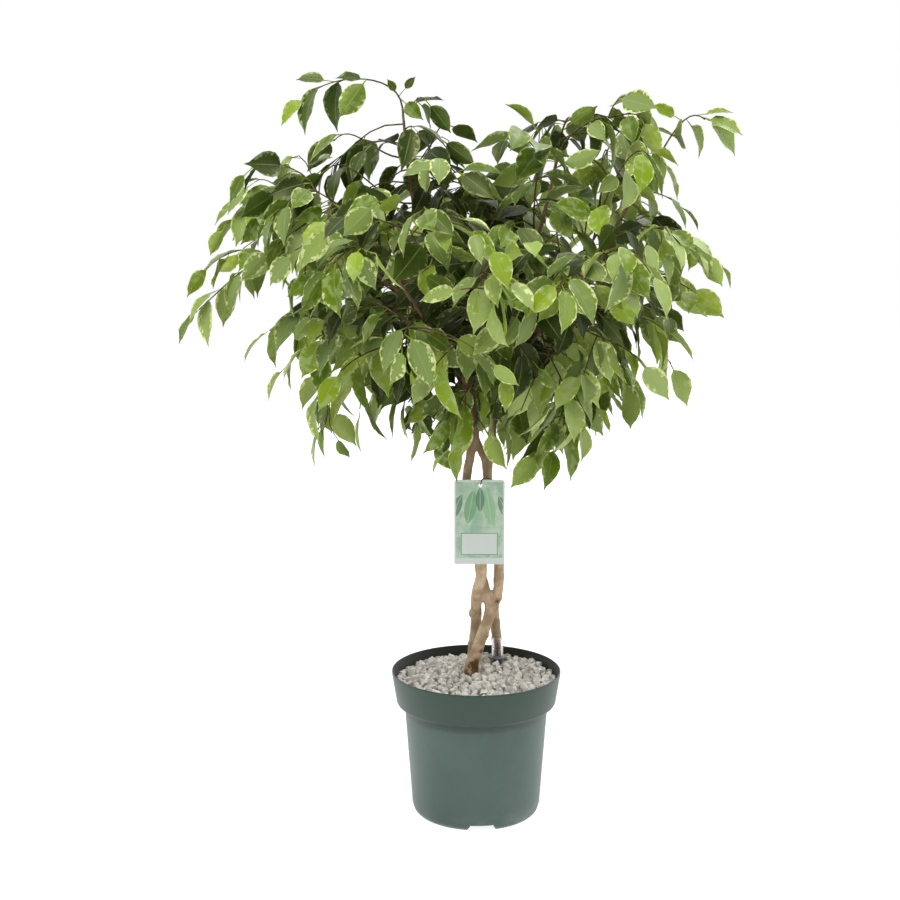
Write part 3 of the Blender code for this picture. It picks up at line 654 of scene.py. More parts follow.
def makeGauge():
    level, spot, bevel = gauge["flangeLevel"], gauge["spot"], gauge["bevel"]
    flangeTop = level + gauge["flangeThickness"]
    flange, tube, foot = gauge["flangeRadius"], gauge["tubeRadius"], gauge["foot"]
    tubeProfile = [
        (0.0, flangeTop), (flange - 0.0005, flangeTop), (flange, flangeTop - 0.0005), (flange, level),
        (tube, level), (tube, foot + 0.002), (tube - 0.002, foot), (0.0, foot),
    ]
    grey = plainPlastic("gaugeGrey", (0.13, 0.14, 0.14), 0.38)
    finishPiece("gauge_tube_fine", spinProfile(tubeProfile, 40, spot, bevel), [grey],
                ["gauge_tube"])
    domeFoot = flangeTop + 0.0003
    domeTop = domeFoot + gauge["domeHeight"]
    dome, wall = gauge["domeRadius"], gauge["domeWall"]
    domeProfile = [
        (0.0, domeTop), (dome - 0.0022, domeTop), (dome - 0.0005, domeTop - 0.0009), (dome, domeTop - 0.0026),
        (dome, domeFoot), (dome - wall, domeFoot), (dome - wall, domeTop - 0.0030),
        (dome - wall - 0.0010, domeTop - wall - 0.0006), (0.0, domeTop - wall - 0.0006),
    ]
    finishPiece("gauge_dome_fine", spinProfile(domeProfile, 40, spot, bevel), [clearPlastic()],
                ["gauge_dome"])
    pin = gauge["floatRadius"]
    pinTop = domeFoot + gauge["floatHeight"]
    pinProfile = [
        (0.0, pinTop), (pin - 0.0004, pinTop), (pin, pinTop - 0.0004), (pin, domeFoot), (0.0, domeFoot),
    ]
    dark = plainPlastic("gaugeFloat", (0.05, 0.05, 0.05), 0.35)
    finishPiece("gauge_float_fine", spinProfile(pinProfile, 16, spot), [dark], ["gauge_float"])


makeGauge()
print("gauge made")


# Hang tag and its tie

tag = {
    "width": 0.070,
    "height": 0.120,
    "thickness": 0.0007,
    "corner": 0.0035,
    "bow": 0.0012,
    "centre": Vector((0.0035, -0.022, 0.426)),
    "holeRadius": 0.0026,
    "hole": Vector((0.0050, -0.022, 0.4780)),
    "paper": (0.56, 0.61, 0.56, 1.0),
    "wash": ((0.26, 0.42, 0.29, 1.0), (0.46, 0.56, 0.42, 1.0)),
    "leafGreens": ((0.05, 0.17, 0.07, 1.0), (0.13, 0.32, 0.13, 1.0), (0.24, 0.44, 0.22, 1.0)),
    "leafRib": (0.55, 0.68, 0.45, 1.0),
    "leafWidth": 0.17,  # its half, as a share of its length
    # each printed leaf: the base's x and z from the tag's centre in millimetres, turn in degrees, length
    "leaves": [(-24, 40, 205, 44), (-8, 46, 190, 50), (10, 46, 172, 52), (26, 38, 154, 42),
               (-30, 22, 222, 34), (31, 18, 140, 34), (1, 50, 180, 36)],
    # each box of the print: its middle, half its size and its colour; the first frames the second
    "boxes": [((0.0, -0.031), (0.0257, 0.0157), (0.16, 0.28, 0.20, 1.0)),
              ((0.0, -0.031), (0.0245, 0.0145), (0.56, 0.61, 0.56, 1.0))],
    "printed": ((0.0, 0.003), (0.0325, 0.0540)),
}
tieRows = [
    (5.0, -22.0, 479.2), (4.8, -18.0, 479.0), (5.6, -8.0, 479.4), (7.8, -1.3, 480.2), (9.0, 4.2, 480.8),
    (13.7, 7.2, 481.4), (19.2, 6.0, 482.0), (22.2, 1.3, 482.6), (20.4, -8.0, 484.6), (13.6, -17.0, 487.6),
    (8.6, -21.6, 488.2), (6.4, -24.8, 486.0), (5.4, -25.0, 481.2),
]
tieRadius = 0.0007


# 1 inside a box round a middle, 0 outside it.
def boxMask(tree, x, z, middle, half, soft=0.0003):
    across = minus(tree, maths(tree, "ABSOLUTE", minus(tree, x, middle[0])), half[0])
    along = minus(tree, maths(tree, "ABSOLUTE", minus(tree, z, middle[1])), half[1])
    return ramp(tree, maths(tree, "MAXIMUM", across, along), soft, -soft)


# One printed leaf over a colour, from its base, its turn and its length.
def printLeaf(tree, place, colour, leafRow, green):
    footX, footZ, turn, length = leafRow
    angle = math.radians(turn)
    tip = Vector((math.sin(angle), 0.0, math.cos(angle))) * length * mm
    centre = Vector((footX * mm, 0.0, footZ * mm)) + tip / 2
    local = mapped(tree, mapped(tree, place, Location=-centre), Rotation=(0.0, -angle, 0.0))
    spot = partsOf(tree, local)
    along = maths(tree, "DIVIDE", spot["Z"], length * mm / 2)
    width = times(tree, minus(tree, 1.0, times(tree, along, along)), length * mm * tag["leafWidth"])
    aside = maths(tree, "ABSOLUTE", spot["X"])
    inside = ramp(tree, minus(tree, width, aside), -0.0002, 0.0003)
    ribbed = blend(tree, ramp(tree, aside, 0.0007, 0.0003), green, tag["leafRib"], 0.5)
    return blend(tree, inside, colour, ribbed, 0.82)


def cardMaterial():
    material, tree, shader = newMaterial("tagCard", {"Roughness": 0.42, "Coat Weight": 0.25})
    place = mapped(tree, objectPlace(tree), Location=-(potAxis + tag["centre"]))
    parts = partsOf(tree, place)
    fine = useGroup(tree, grain, **{"Scale": 1500.0, "Patch Scale": 60.0})
    colour = blend(tree, ramp(tree, fine["Patches"], 0.35, 0.65), *tag["wash"])
    for number, leafRow in enumerate(tag["leaves"]):
        colour = printLeaf(tree, place, colour, leafRow, tag["leafGreens"][number % len(tag["leafGreens"])])
    for middle, half, ink in tag["boxes"]:
        colour = blend(tree, boxMask(tree, parts["X"], parts["Z"], middle, half), colour, ink)
    colour = blend(tree, boxMask(tree, parts["X"], parts["Z"], *tag["printed"]), tag["paper"], colour)
    colourInto(tree, shader, colour)
    bumpInto(tree, shader, fine["Speckle"], 0.00003, 0.6)
    return material


def cardBackMaterial():
    material, tree, shader = newMaterial("tagCardBack", {"Roughness": 0.7})
    fine = useGroup(tree, grain, **{"Scale": 1500.0, "Patch Scale": 90.0})
    dull, clean = shade(tag["paper"], 0.92), shade(tag["paper"], 1.03)
    colourInto(tree, shader, blend(tree, fine["Patches"], dull, clean))
    bumpInto(tree, shader, fine["Speckle"], 0.00004, 0.8)
    return material


def makeTag():
    build = bmesh.new()
    bmesh.ops.create_grid(build, x_segments=12, y_segments=20, size=0.5)
    corners = [vertex for vertex in build.verts if abs(vertex.co.x) > 0.49 and abs(vertex.co.y) > 0.49]
    bmesh.ops.scale(build, verts=build.verts, vec=(tag["width"], tag["height"], 1.0))
    bmesh.ops.bevel(build, geom=corners, offset=tag["corner"], segments=4, profile=0.5, affect="VERTICES",
                    material=-1)
    bmesh.ops.solidify(build, geom=build.faces[:], thickness=tag["thickness"])
    bmesh.ops.recalc_face_normals(build, faces=build.faces)
    for vertex in build.verts:
        vertex.co.z -= tag["bow"] * (1.0 - (2 * vertex.co.x / tag["width"]) ** 2)
    bmesh.ops.rotate(build, verts=build.verts, matrix=Matrix.Rotation(math.pi / 2, 3, "X"))
    bmesh.ops.translate(build, verts=build.verts, vec=potAxis + tag["centre"])
    build.normal_update()
    for face in build.faces:
        face.material_index = 0 if face.normal.y < -0.5 else 1
    piece = finishPiece("hang_tag_card", build, [cardMaterial(), cardBackMaterial()],
                        ["hang_tag"], 30.0)
    punch = bmesh.new()
    place = Matrix.Translation(potAxis + tag["hole"]) @ Matrix.Rotation(math.pi / 2, 4, "X")
    bmesh.ops.create_cone(punch, cap_ends=True, segments=24, radius1=tag["holeRadius"],
                          radius2=tag["holeRadius"], depth=0.02, matrix=place)
    cutOut(piece, punch, 30.0)


def makeTie():
    curve = bpy.data.curves.new("tie_route", "CURVE")
    curve.dimensions = "3D"
    curve.bevel_depth = tieRadius
    curve.bevel_resolution = 3
    spline = curve.splines.new("NURBS")
    spline.points.add(len(tieRows) - 1)
    spline.use_cyclic_u = True
    spline.order_u = 3
    spline.resolution_u = 6
    for point, row in zip(spline.points, tieRows):
        point.co = (*(Vector(row) * mm + potAxis), 1.0)
    route = bpy.data.objects.new("tie_route", curve)
    bpy.context.scene.collection.objects.link(route)
    mesh = bpy.data.meshes.new_from_object(route.evaluated_get(bpy.context.evaluated_depsgraph_get()))
    bpy.data.objects.remove(route, do_unlink=True)
    build = bmesh.new()
    build.from_mesh(mesh)
    bmesh.ops.remove_doubles(build, verts=build.verts, dist=weld)
    bmesh.ops.recalc_face_normals(build, faces=build.faces)
    black = plainPlastic("tieBlack", (0.012, 0.012, 0.012), 0.45)
    finishPiece("tag_tie_cord", build, [black], ["tag_tie"])


makeTag()
makeTie()
print("tag and tie made")


# Trunk and limbs

# Each limb, from inside the strand that it grows from out to its end: x, y, z and radius in millimetres.
limbs = {
    "leftRise": [(-19, -8, 640, 4.8), (-45, -10, 715, 4), (-72, -12, 800, 3.2), (-91, -6, 890, 2.6),
                 (-101, -2, 990, 2)],
    "leftReach": [(-18, -8, 638, 4.5), (-62, -22, 700, 3.6), (-130, -34, 765, 2.8), (-205, -40, 800, 2)],
    "leftBack": [(-12, -5, 602, 4.5), (-48, 45, 665, 3.6), (-100, 110, 740, 2.8), (-150, 160, 800, 2)],
    "leftFront": [(-16, -7, 622, 4.5), (-48, -70, 682, 3.6), (-88, -135, 745, 2.8), (-118, -175, 798, 2)],
    "leftLow": [(-11, -4, 585, 4.3), (-68, 4, 638, 3.4), (-130, 12, 678, 2.7), (-190, 15, 700, 2)],
    "rightRise": [(32, 2, 625, 4.8), (52, 4, 700, 4), (82, 0, 815, 3.2), (108, -4, 925, 2)],
    "rightReach": [(31, 2, 622, 4.5), (80, -14, 695, 3.6), (154, -24, 786, 2.8), (226, -30, 900, 2)],
    "rightBack": [(25, 5, 600, 4.5), (70, 55, 670, 3.6), (125, 112, 745, 2.8), (180, 150, 822, 2)],
    "rightFront": [(28, 4, 612, 4.5), (66, -60, 675, 3.6), (110, -120, 742, 2.8), (150, -165, 795, 2)],
    "rightLow": [(23, 7, 582, 4.3), (92, 20, 648, 3.4), (160, 34, 692, 2.7), (222, 42, 720, 2)],
    "centreRise": [(0, 34, 646, 4.5), (4, 42, 720, 3.4), (14, 36, 795, 2.6), (20, 28, 850, 2)],
    "centreBack": [(-5, 26, 596, 4.3), (-10, 85, 678, 3.4), (-8, 142, 745, 2.7), (0, 190, 790, 2)],
    "centreFront": [(22, 9, 560, 4.3), (12, -58, 640, 3.4), (5, -118, 715, 2.7), (2, -165, 768, 2)],
}
trunk = {
    "voxel": 0.0014,
    "smoothing": 2,
    "strandSides": 14,
    "limbSides": 10,
    "ridge": 0.00035,
    "ridgeScale": (520, 520, 70),
    "lump": 0.0007,
    "lumpScale": 75,
    # young limbs are smoother than the old strands: from which height, over what height and how far down
    "young": (0.70, 0.12, 0.15),
    # knots of cut shoots: the strand, its station, which way one faces (x, y) and its radius in millimetres
    "knots": [("front", 4, (-0.3, -1.0), 8), ("left", 6, (-1.0, -0.3), 5), ("left", 16, (-1.0, -0.4), 6),
              ("front", 14, (1.0, -0.5), 5), ("right", 22, (1.0, -0.2), 4.5), ("left", 34, (-0.6, -1.0), 5),
              ("front", 40, (0.4, 1.0), 5), ("right", 44, (1.0, 0.3), 4.5), ("left", 56, (-1.0, 0.2), 5),
              ("front", 60, (0.8, -0.8), 5), ("right", 10, (0.4, 1.0), 5)],
    "knotStand": 0.62,
    "knotTall": 1.3,
    # darker scars: the middle and the radius in millimetres
    "scars": [((0, -13, 218), 8), ((-1, -13, 209), 9), ((-12, -12, 203), 6), ((33, 5, 300), 4),
              ((-9, 8, 292), 4), ((8, -8, 236), 4)],
    "scarBark": (0.095, 0.045, 0.012, 1.0),
    "lightBark": (0.60, 0.455, 0.31, 1.0),
    "darkBark": (0.34, 0.23, 0.13, 1.0),
    "greenBark": (0.36, 0.31, 0.15, 1.0),
    "poreBark": (0.47, 0.38, 0.27, 1.0),
    "crownBark": (0.110, 0.062, 0.027, 1.0),
}


def barkMaterial():
    material, tree, shader = newMaterial("bark", {"Roughness": 0.82, "Specular IOR Level": 0.3})
    place = objectPlace(tree)
    fibres = cloudy(tree, mapped(tree, place, Scale=(1.0, 1.0, 0.22)), 420.0, 5.0, 0.65, 0.4)
    blotches = cloudy(tree, place, 48.0, 4.0, 0.6)
    moss = cloudy(tree, place, 22.0, 3.0)
    pores = ramp(tree, cellular(tree, mapped(tree, place, Scale=(1.0, 1.0, 3.2)), 150.0), 0.16, 0.07)
    colour = blend(tree, ramp(tree, blotches, 0.36, 0.66), trunk["darkBark"], trunk["lightBark"])
    colour = blend(tree, ramp(tree, moss, 0.5, 0.72), colour, trunk["greenBark"], 0.5)
    colour = blend(tree, ramp(tree, fibres, 0.62, 0.38), colour, trunk["darkBark"], 0.45)
    colour = blend(tree, pores, colour, trunk["poreBark"], 0.6)
    # the scars of cut shoots have ragged edges
    ragged = plus(tree, times(tree, minus(tree, blotches, 0.5), 0.030),
                  times(tree, minus(tree, fibres, 0.5), 0.014))
    for spot, size in trunk["scars"]:
        edge = plus(tree, distanceFrom(tree, place, potAxis + Vector(spot) * mm), ragged)
        scar = ramp(tree, edge, size * mm * 1.4, size * mm * 0.5)
        colour = blend(tree, scar, colour, trunk["scarBark"], 0.92)
    # the young limbs of the crown are darker, with a mottled change from the strands
    height = plus(tree, partsOf(tree, place)["Z"], times(tree, blotches, 0.05))
    colour = blend(tree, ramp(tree, height, 0.455, 0.60), colour, trunk["crownBark"], 0.85)
    colourInto(tree, shader, colour)
    bumpInto(tree, shader, plus(tree, fibres, times(tree, pores, 0.5)), 0.0007)
    return material


def makeTrunk():
    build = bmesh.new()
    paths = {name: smoothPath(rows, 4) for name, rows in strands.items()}
    for path in paths.values():
        growTube(build, stationsOf(path), trunk["strandSides"])
    for rows in limbs.values():
        growTube(build, stationsOf(smoothPath(rows, 4)), trunk["limbSides"])
    for name, station, (x, y), size in trunk["knots"]:
        stop = paths[name][station]
        outward = Vector((x, y, 0.15)).normalized()
        spot = Vector(stop[:3]) + potAxis + outward * stop[3] * trunk["knotStand"]
        tall = Matrix.Translation(spot) @ Matrix.Diagonal((1.0, 1.0, trunk["knotTall"], 1.0))
        bmesh.ops.create_icosphere(build, subdivisions=3, radius=size * mm, matrix=tall)
    bark = barkMaterial()
    piece = finishPiece("plaited_trunk", build, [bark], ["trunk"], 180.0)
    applyModifier(piece, "REMESH", mode="VOXEL", voxel_size=trunk["voxel"], adaptivity=0.0)
    build = bmesh.new()
    build.from_mesh(piece.data)
    for step in range(trunk["smoothing"]):
        bmesh.ops.smooth_vert(build, verts=build.verts, factor=0.5, use_axis_x=True, use_axis_y=True,
                              use_axis_z=True)
    build.normal_update()
    level, fade, least = trunk["young"]
    for vertex in build.verts:
        spot = vertex.co
        old = max(least, min(1.0, (level - spot.z) / fade))
        ridges = noise.noise(spot * Vector(trunk["ridgeScale"]))
        lumps = noise.noise(spot * trunk["lumpScale"])
        vertex.co = spot + vertex.normal * (ridges * trunk["ridge"] + lumps * trunk["lump"]) * old
    build.to_mesh(piece.data)
    build.free()
    if not piece.data.materials:
        piece.data.materials.append(bark)
    piece.data.shade_smooth()


makeTrunk()
print("trunk made")


# Leafy shoots

# For each limb its leafy stems: how far along the limb one leaves (1 carries on from the limb's end), and its
# tip's x, y and z in millimetres.
limbStems = {
    "leftRise": [(1.00, -226, -22, 1006), (0.84, -200, 84, 948), (0.68, -200, -66, 908),
                 (0.80, -38, 28, 966), (0.58, -22, -58, 902)],
    "leftReach": [(1.00, -374, -46, 724), (0.80, -284, -10, 692), (0.62, -256, -98, 878),
                  (0.52, -226, -96, 680)],
    "leftBack": [(1.00, -246, 226, 778), (0.76, -128, 266, 846), (0.62, -318, 96, 868),
                 (0.46, -206, 104, 664)],
    "leftFront": [(1.00, -186, -276, 786), (0.80, -66, -262, 858), (0.66, -96, -262, 696),
                  (0.50, -176, -172, 656)],
    "leftLow": [(1.00, -230, 10, 584), (0.80, -160, -40, 588), (0.52, -132, 66, 598),
                (0.46, -84, -60, 580)],
    "rightRise": [(1.00, 214, -22, 968), (0.84, 134, 88, 974), (0.68, 84, -92, 930),
                  (0.52, 40, -122, 832)],
    "rightReach": [(1.00, 300, -36, 974), (0.84, 266, -92, 818), (0.68, 216, -128, 926),
                   (0.52, 248, -66, 698)],
    "rightBack": [(1.00, 262, 214, 852), (0.78, 140, 252, 890), (0.66, 302, 64, 748),
                  (0.86, 230, 84, 962)],
    "rightFront": [(1.00, 204, -262, 786), (0.78, 96, -276, 770), (0.60, 206, -170, 668),
                   (0.46, 112, -176, 628)],
    "rightLow": [(1.00, 274, 46, 640), (0.74, 206, -20, 618), (0.54, 150, 66, 556), (0.44, 104, -44, 540),
                 (0.30, 66, 66, 556)],
    "centreRise": [(1.00, -30, 74, 880), (0.60, 68, 132, 850)],
    "centreBack": [(1.00, 12, 286, 750), (0.66, -86, 226, 700), (0.56, 92, 210, 694)],
    "centreFront": [(1.00, 12, -276, 752), (0.66, -60, -206, 660), (0.36, -36, -106, 590)],
}
stems = [(limb, row[0], Vector(row[1:]) * mm) for limb, rows in limbStems.items() for row in rows]

leaf = {
    "length": 0.064,
    "widthRatio": 0.52,
    "stalk": 0.014,
    "stalkHalf": 0.00075,
    "thickness": 0.00055,
    "stalkThickness": 0.0012,
    "plainStand": {"aside": 0.5, "ahead": 0.45, "hang": (0.5, 1.1), "lengths": (0.86, 1.12)},
    "addedStand": {"aside": 0.6, "ahead": 0.7, "hang": (0.3, 1.2), "lengths": (0.64, 1.0)},
    "tipRoom": 0.0006,
    "spacing": 0.0275,
    "attempts": 6,
    "seed": 660,
    "columns": 4,
    # outline rows along the blade: how far along, and the half width as a share of the widest
    "rows": [(0.0, 0.07), (0.08, 0.55), (0.21, 0.89), (0.38, 1.0), (0.57, 0.90), (0.75, 0.52), (0.88, 0.15),
             (1.0, 0.02)],
    "fold": (0.10, 0.38),
    "wave": 0.0016,
    "widths": (0.92, 1.16),
    "curls": (0.30, 0.62),
    "ripple": (1.9, 0.8),  # how far a wave runs on from row to row, and across
    "stalkShake": 0.25,
    "bladeShake": 0.3,
    "endShake": 0.2,
    "facingShake": 1.1,
    "endShorter": 0.85,
    # the deepest colour carries painted shade over a deep green, the lime painted light through the leaf over
    # a yellow-green, the sage a painted sky reflection over grey-green patches and veins; the cream is the
    # margin
    "colours": {"DeepAndShade": (0.009, 0.021, 0.0005, 1.0), "Green": (0.072, 0.127, 0.003, 1.0),
                "LimeAndBacklight": (0.198, 0.290, 0.010, 1.0), "SageAndSkyReflection": (0.325, 0.405, 0.17, 1.0),
                "Cream": (0.63, 0.69, 0.32, 1.0)},
    "underColours": {"DeepAndShade": (0.035, 0.065, 0.005, 1.0), "Green": (0.11, 0.165, 0.015, 1.0),
                     "LimeAndBacklight": (0.22, 0.295, 0.02, 1.0), "SageAndSkyReflection": (0.32, 0.41, 0.15, 1.0)},
}
twig = {
    "rootRadius": 0.0014,
    "tipRadius": 0.0008,
    "collar": 0.0025,
    "rings": 4,
    "fineRings": 12,
    "sides": 6,
    "gap": 0.0003,
    "sideRadius": 0.0011,
    "endRadius": 0.0006,
    "sideRings": 6,
    "reach": (0.38, 0.36),  # the arch's handles at its root and tip, as shares of its span
    "stemSag": 0.9,
    "sideSag": 0.7,
    "endSunk": 0.0015,
    "stemSunk": 0.0022,
    "sideSunk": 0.0012,
    "colours": ((0.045, 0.028, 0.010, 1.0), (0.13, 0.10, 0.030, 1.0)),
}
crown = {
    "heart": Vector((0.0, 0.0, 0.66)),
    # the outline that the added shoots fill: x, top and bottom in millimetres, from the pot's axis
    "outline": [(-390, 790, 740), (-350, 860, 740), (-310, 905, 745), (-275, 915, 680), (-230, 905, 680),
                (-180, 905, 660), (-150, 925, 575), (-124, 945, 545), (-112, 970, 540), (-86, 970, 535),
                (-68, 935, 520), (-25, 912, 490), (30, 912, 490), (64, 925, 500), (100, 990, 495),
                (150, 992, 525), (210, 1010, 560), (245, 985, 580), (262, 900, 620), (290, 850, 700),
                (345, 800, 740)],
    # shoots stood one by one: the limb or the number of the leafy stem, where on it, and the tip
    "placed": [("leftRise", 0.985, (-66, -8, 1000)), ("leftRise", 0.93, (-84, -18, 968)),
               ("leftRise", 0.87, (-146, -20, 940)), (8, 0.62, (-262, -120, 806)),
               (8, 0.76, (-300, -88, 908)), (12, 0.62, (-318, 40, 800)), (12, 0.84, (-350, 56, 836)),
               (12, 0.56, (-258, 40, 926)), (12, 0.80, (-308, 52, 892)), (6, 0.42, (-352, -70, 788)),
               (7, 0.72, (-262, -16, 640)), (18, 0.80, (-224, 8, 548)), (18, 0.66, (-204, 2, 546)),
               (50, 0.55, (-30, -80, 538)), (41, 0.70, (84, -50, 534)), (24, 0.55, (90, -40, 962)),
               (23, 0.60, (122, 30, 980)), ("rightReach", 0.95, (272, -20, 868)),
               (22, 0.66, (206, -14, 998)), ("rightLow", 0.10, (34, -18, 548)),
               ("centreFront", 0.14, (8, -62, 604)), ("leftLow", 0.12, (-40, -20, 560))],
    "placedTones": (0.3, 0.8),
    "placedTries": 6,
    "placedShake": 0.006,
    # leaves stood one by one: number of the leafy stem, where on it, the blade's way, its facing, its length
    "placedLeaves": [(1, 0.10, (0.75, -0.7, -0.7), (-0.3, -1.0, 0.3), 36),
                     (1, 0.08, (-0.5, -0.2, 0.8), (0, -1, 0.3), 19),
                     (1, 0.12, (0.6, -0.2, 0.7), (0, -1, 0.3), 21),
                     (1, 0.44, (-0.96, -0.35, 0.1), (0, -0.7, 0.7), 35),
                     (1, 0.74, (-0.97, -0.1, 0.15), (0, -0.7, 0.7), 38),
                     (1, 0.98, (-0.74, -0.1, -0.66), (-0.5, -0.7, 0.4), 44),
                     (26, 0.64, (-0.86, -0.1, 0.5), (0, -0.8, 0.5), 34),
                     (26, 0.86, (0.97, -0.1, 0.15), (0, -0.4, 0.9), 36),
                     (26, 0.93, (0.86, -0.5, -0.3), (0.2, -0.6, 0.7), 50)],
    "bareStems": (1, 2, 3, 4, 18, 19, 26),
    "quietStems": (1, 2, 3, 4, 18, 19, 26, 29, 38, 39),
    "looseStems": (6, 8, 12, 22, 23),
    "clearing": (-16, 36, 556),
    "depthShare": 1.15,
    "sideShoots": 4,
    "sideTries": 8,
    "sidePlaces": (0.12, 0.86),
    "sideShake": 0.55,
    "sideDroop": (0.1, 0.7),
    "sideShootLength": (0.060, 0.120),
    "limbShoots": 11,
    "limbPlaces": (0.10, 0.96),
    "limbSlant": (-0.5, 0.9),
    "limbShootLength": (0.070, 0.150),
    "addedSpacing": 0.0205,
    "firstLeaf": (0.3, 0.6),  # a first leaf beyond the one share gets another, at the other share of its way
    # each shoot's tone, 0 deep green and 1 pale, and what a leaf's place adds to it for a metre: painted
    # light low down and to the right, painted shade high up and inside the crown
    "tones": (0.50, 0.85),
    "paintedLightFall": 1.25,
    "paintedLightRight": 0.50,
    "paintedShadeOut": 1.2,
    "paintedShadeWaist": 0.21,
    "toneSpread": 0.16,
    "palest": 0.77,
    # the inner shoots' tones are deep: painted shade inside the crown
    "innerShadeTones": (0.0, 0.24),
    "cell": 0.040,
    "seed": 4100,
    "limbSeed": 500,
}


# Each limb's own line, which every shoot on it starts from.
limbLines = {name: smoothPath(rows, 2) for name, rows in limbs.items()}


def across(vector, axis):
    return (vector - axis * vector.dot(axis)).normalized()


def jittered(draw, vector, amount):
    shake = Vector((draw.uniform(-1, 1), draw.uniform(-1, 1), draw.uniform(-1, 1)))
    return (vector + shake * amount).normalized()


# The point on a limb at a share of its length, the way it runs there and its radius.
def limbStation(limb, fraction):
    path = limbLines[limb]
    reach = fraction * (len(path) - 1)
    index = min(int(reach), len(path) - 2)
    here, ahead = path[index], path[index + 1]
    spot = here.lerp(ahead, reach - index)
    return Vector(spot[:3]), Vector((ahead - here)[:3]).normalized(), spot[3]


def bezier(points, t):
    a, b, c, d = points
    return a * (1 - t) ** 3 + b * 3 * t * (1 - t) ** 2 + c * 3 * t ** 2 * (1 - t) + d * t ** 3


# The way that an arch runs at a share of it.
def wayAt(line, share):
    return (bezier(line, min(1.0, share + 0.02)) - bezier(line, max(0.0, share - 0.02))).normalized()


# An arching line from a root that leaves one way to a drooping tip.
def archLine(root, leave, tip, sag):
    span = (tip - root).length
    outward = Vector((tip.x - root.x, tip.y - root.y, 0.0)).normalized()
    droop = (outward + down * sag).normalized()
    return [root, root + leave * span * twig["reach"][0], tip - droop * span * twig["reach"][1], tip]


def stemLine(limb, fraction, tip):
    spot, along, radius = limbStation(limb, fraction)
    if fraction == 1.0:
        leave = along
        root = spot + along * twig["gap"]
    else:
        leave = across(tip - spot + rise, along)
        root = spot + leave * (radius + twig["gap"])
    return archLine(root, leave, tip, twig["stemSag"]), leave


# Stations of a twig's tube, its foot sunk into what it grows from.
def twigStations(line, leave, sunk, thick, thin, rings):
    stations = [(line[0] - leave * sunk, thick * 1.15)]
    for index in range(rings + 1):
        t = index / rings
        stations.append((bezier(line, t), thick + (thin - thick) * t))
    return stations


# The solids' leaves stand on a line of few straight steps.
def coarsePath(line, leave):
    steps = [bezier(line, index / twig["rings"]) for index in range(1, twig["rings"] + 1)]
    return [line[0], line[0] + leave * twig["collar"]] + steps


def coarseLength(line, leave):
    path = coarsePath(line, leave)
    return sum((b - a).length for a, b in zip(path, path[1:]))


# The place at a distance along that line, the way it runs there and the share of the arch.
def coarseStation(line, leave, distance):
    path = coarsePath(line, leave)
    for number, (a, b) in enumerate(zip(path, path[1:])):
        step = b - a
        if distance <= step.length:
            share = max(0.0, (number - 1 + distance / step.length) / twig["rings"])
            return a + step.normalized() * distance, step.normalized(), share
        distance -= step.length
    return path[-1], (path[-1] - path[-2]).normalized(), 1.0


# One try at how a leaf stands: its stalk's way, its blade's way, the way it faces and its length.
def leafPose(draw, spot, along, hand, last, stand):
    level = across(along.cross(down), along)
    outward = Vector((spot.x, spot.y, (spot.z - crown["heart"].z) * 0.8)).normalized()
    stalkWay = jittered(draw, along * 0.6 + level * hand * 0.8 + Vector((0.0, 0.0, 0.1)), leaf["stalkShake"])
    bladeWay = jittered(draw, level * hand * stand["aside"] + along * stand["ahead"]
                        + down * draw.uniform(*stand["hang"]), leaf["bladeShake"])
    stalkWay = (stalkWay + bladeWay * 0.35).normalized()
    if last:
        stalkWay = along
        bladeWay = jittered(draw, along + down * 0.4, leaf["endShake"])
    facing = across(jittered(draw, outward * 0.6 + Vector((0.0, 0.0, 0.4)), leaf["facingShake"]), bladeWay)
    length = leaf["length"] * draw.uniform(*stand["lengths"]) * (leaf["endShorter"] if last else 1.0)
    return stalkWay, bladeWay, facing, length


# Where the solids' own leaf ends, to find it in its node.
def plainTip(spot, stalkWay, bladeWay, facing, length):
    wide = bladeWay.cross(facing).normalized()
    tip = spot + across(stalkWay, wide) * leaf["stalk"]
    for share, curl in ((0.33, 0.0), (0.33, 0.16), (0.34, 0.42)):
        tip = tip + (bladeWay - facing * curl).normalized() * (length * share)
    return tip


# How one leaf differs from the next: width, fold, curl, waves and colouring. Its tint has painted shade
# higher up, to the left and inside the crown, and painted light lower down, to the right and outside.
def leafHabit(draw, tone, spot):
    tone += (crown["heart"].z - spot.z) * crown["paintedLightFall"] + spot.x * crown["paintedLightRight"]
    tone += (math.hypot(spot.x, spot.y * crown["depthShare"]) - crown["paintedShadeWaist"]) * crown["paintedShadeOut"]
    return {
        "width": draw.uniform(*leaf["widths"]),
        "fold": draw.uniform(*leaf["fold"]),
        "curl": draw.uniform(*leaf["curls"]),
        "wave": draw.uniform(0.3, 1.0) * leaf["wave"],
        "phase": draw.uniform(0.0, math.tau),
        "tint": min(crown["palest"], max(0.01, draw.gauss(tone, crown["toneSpread"]))),
        "cream": draw.uniform(0.05, 0.95),
    }


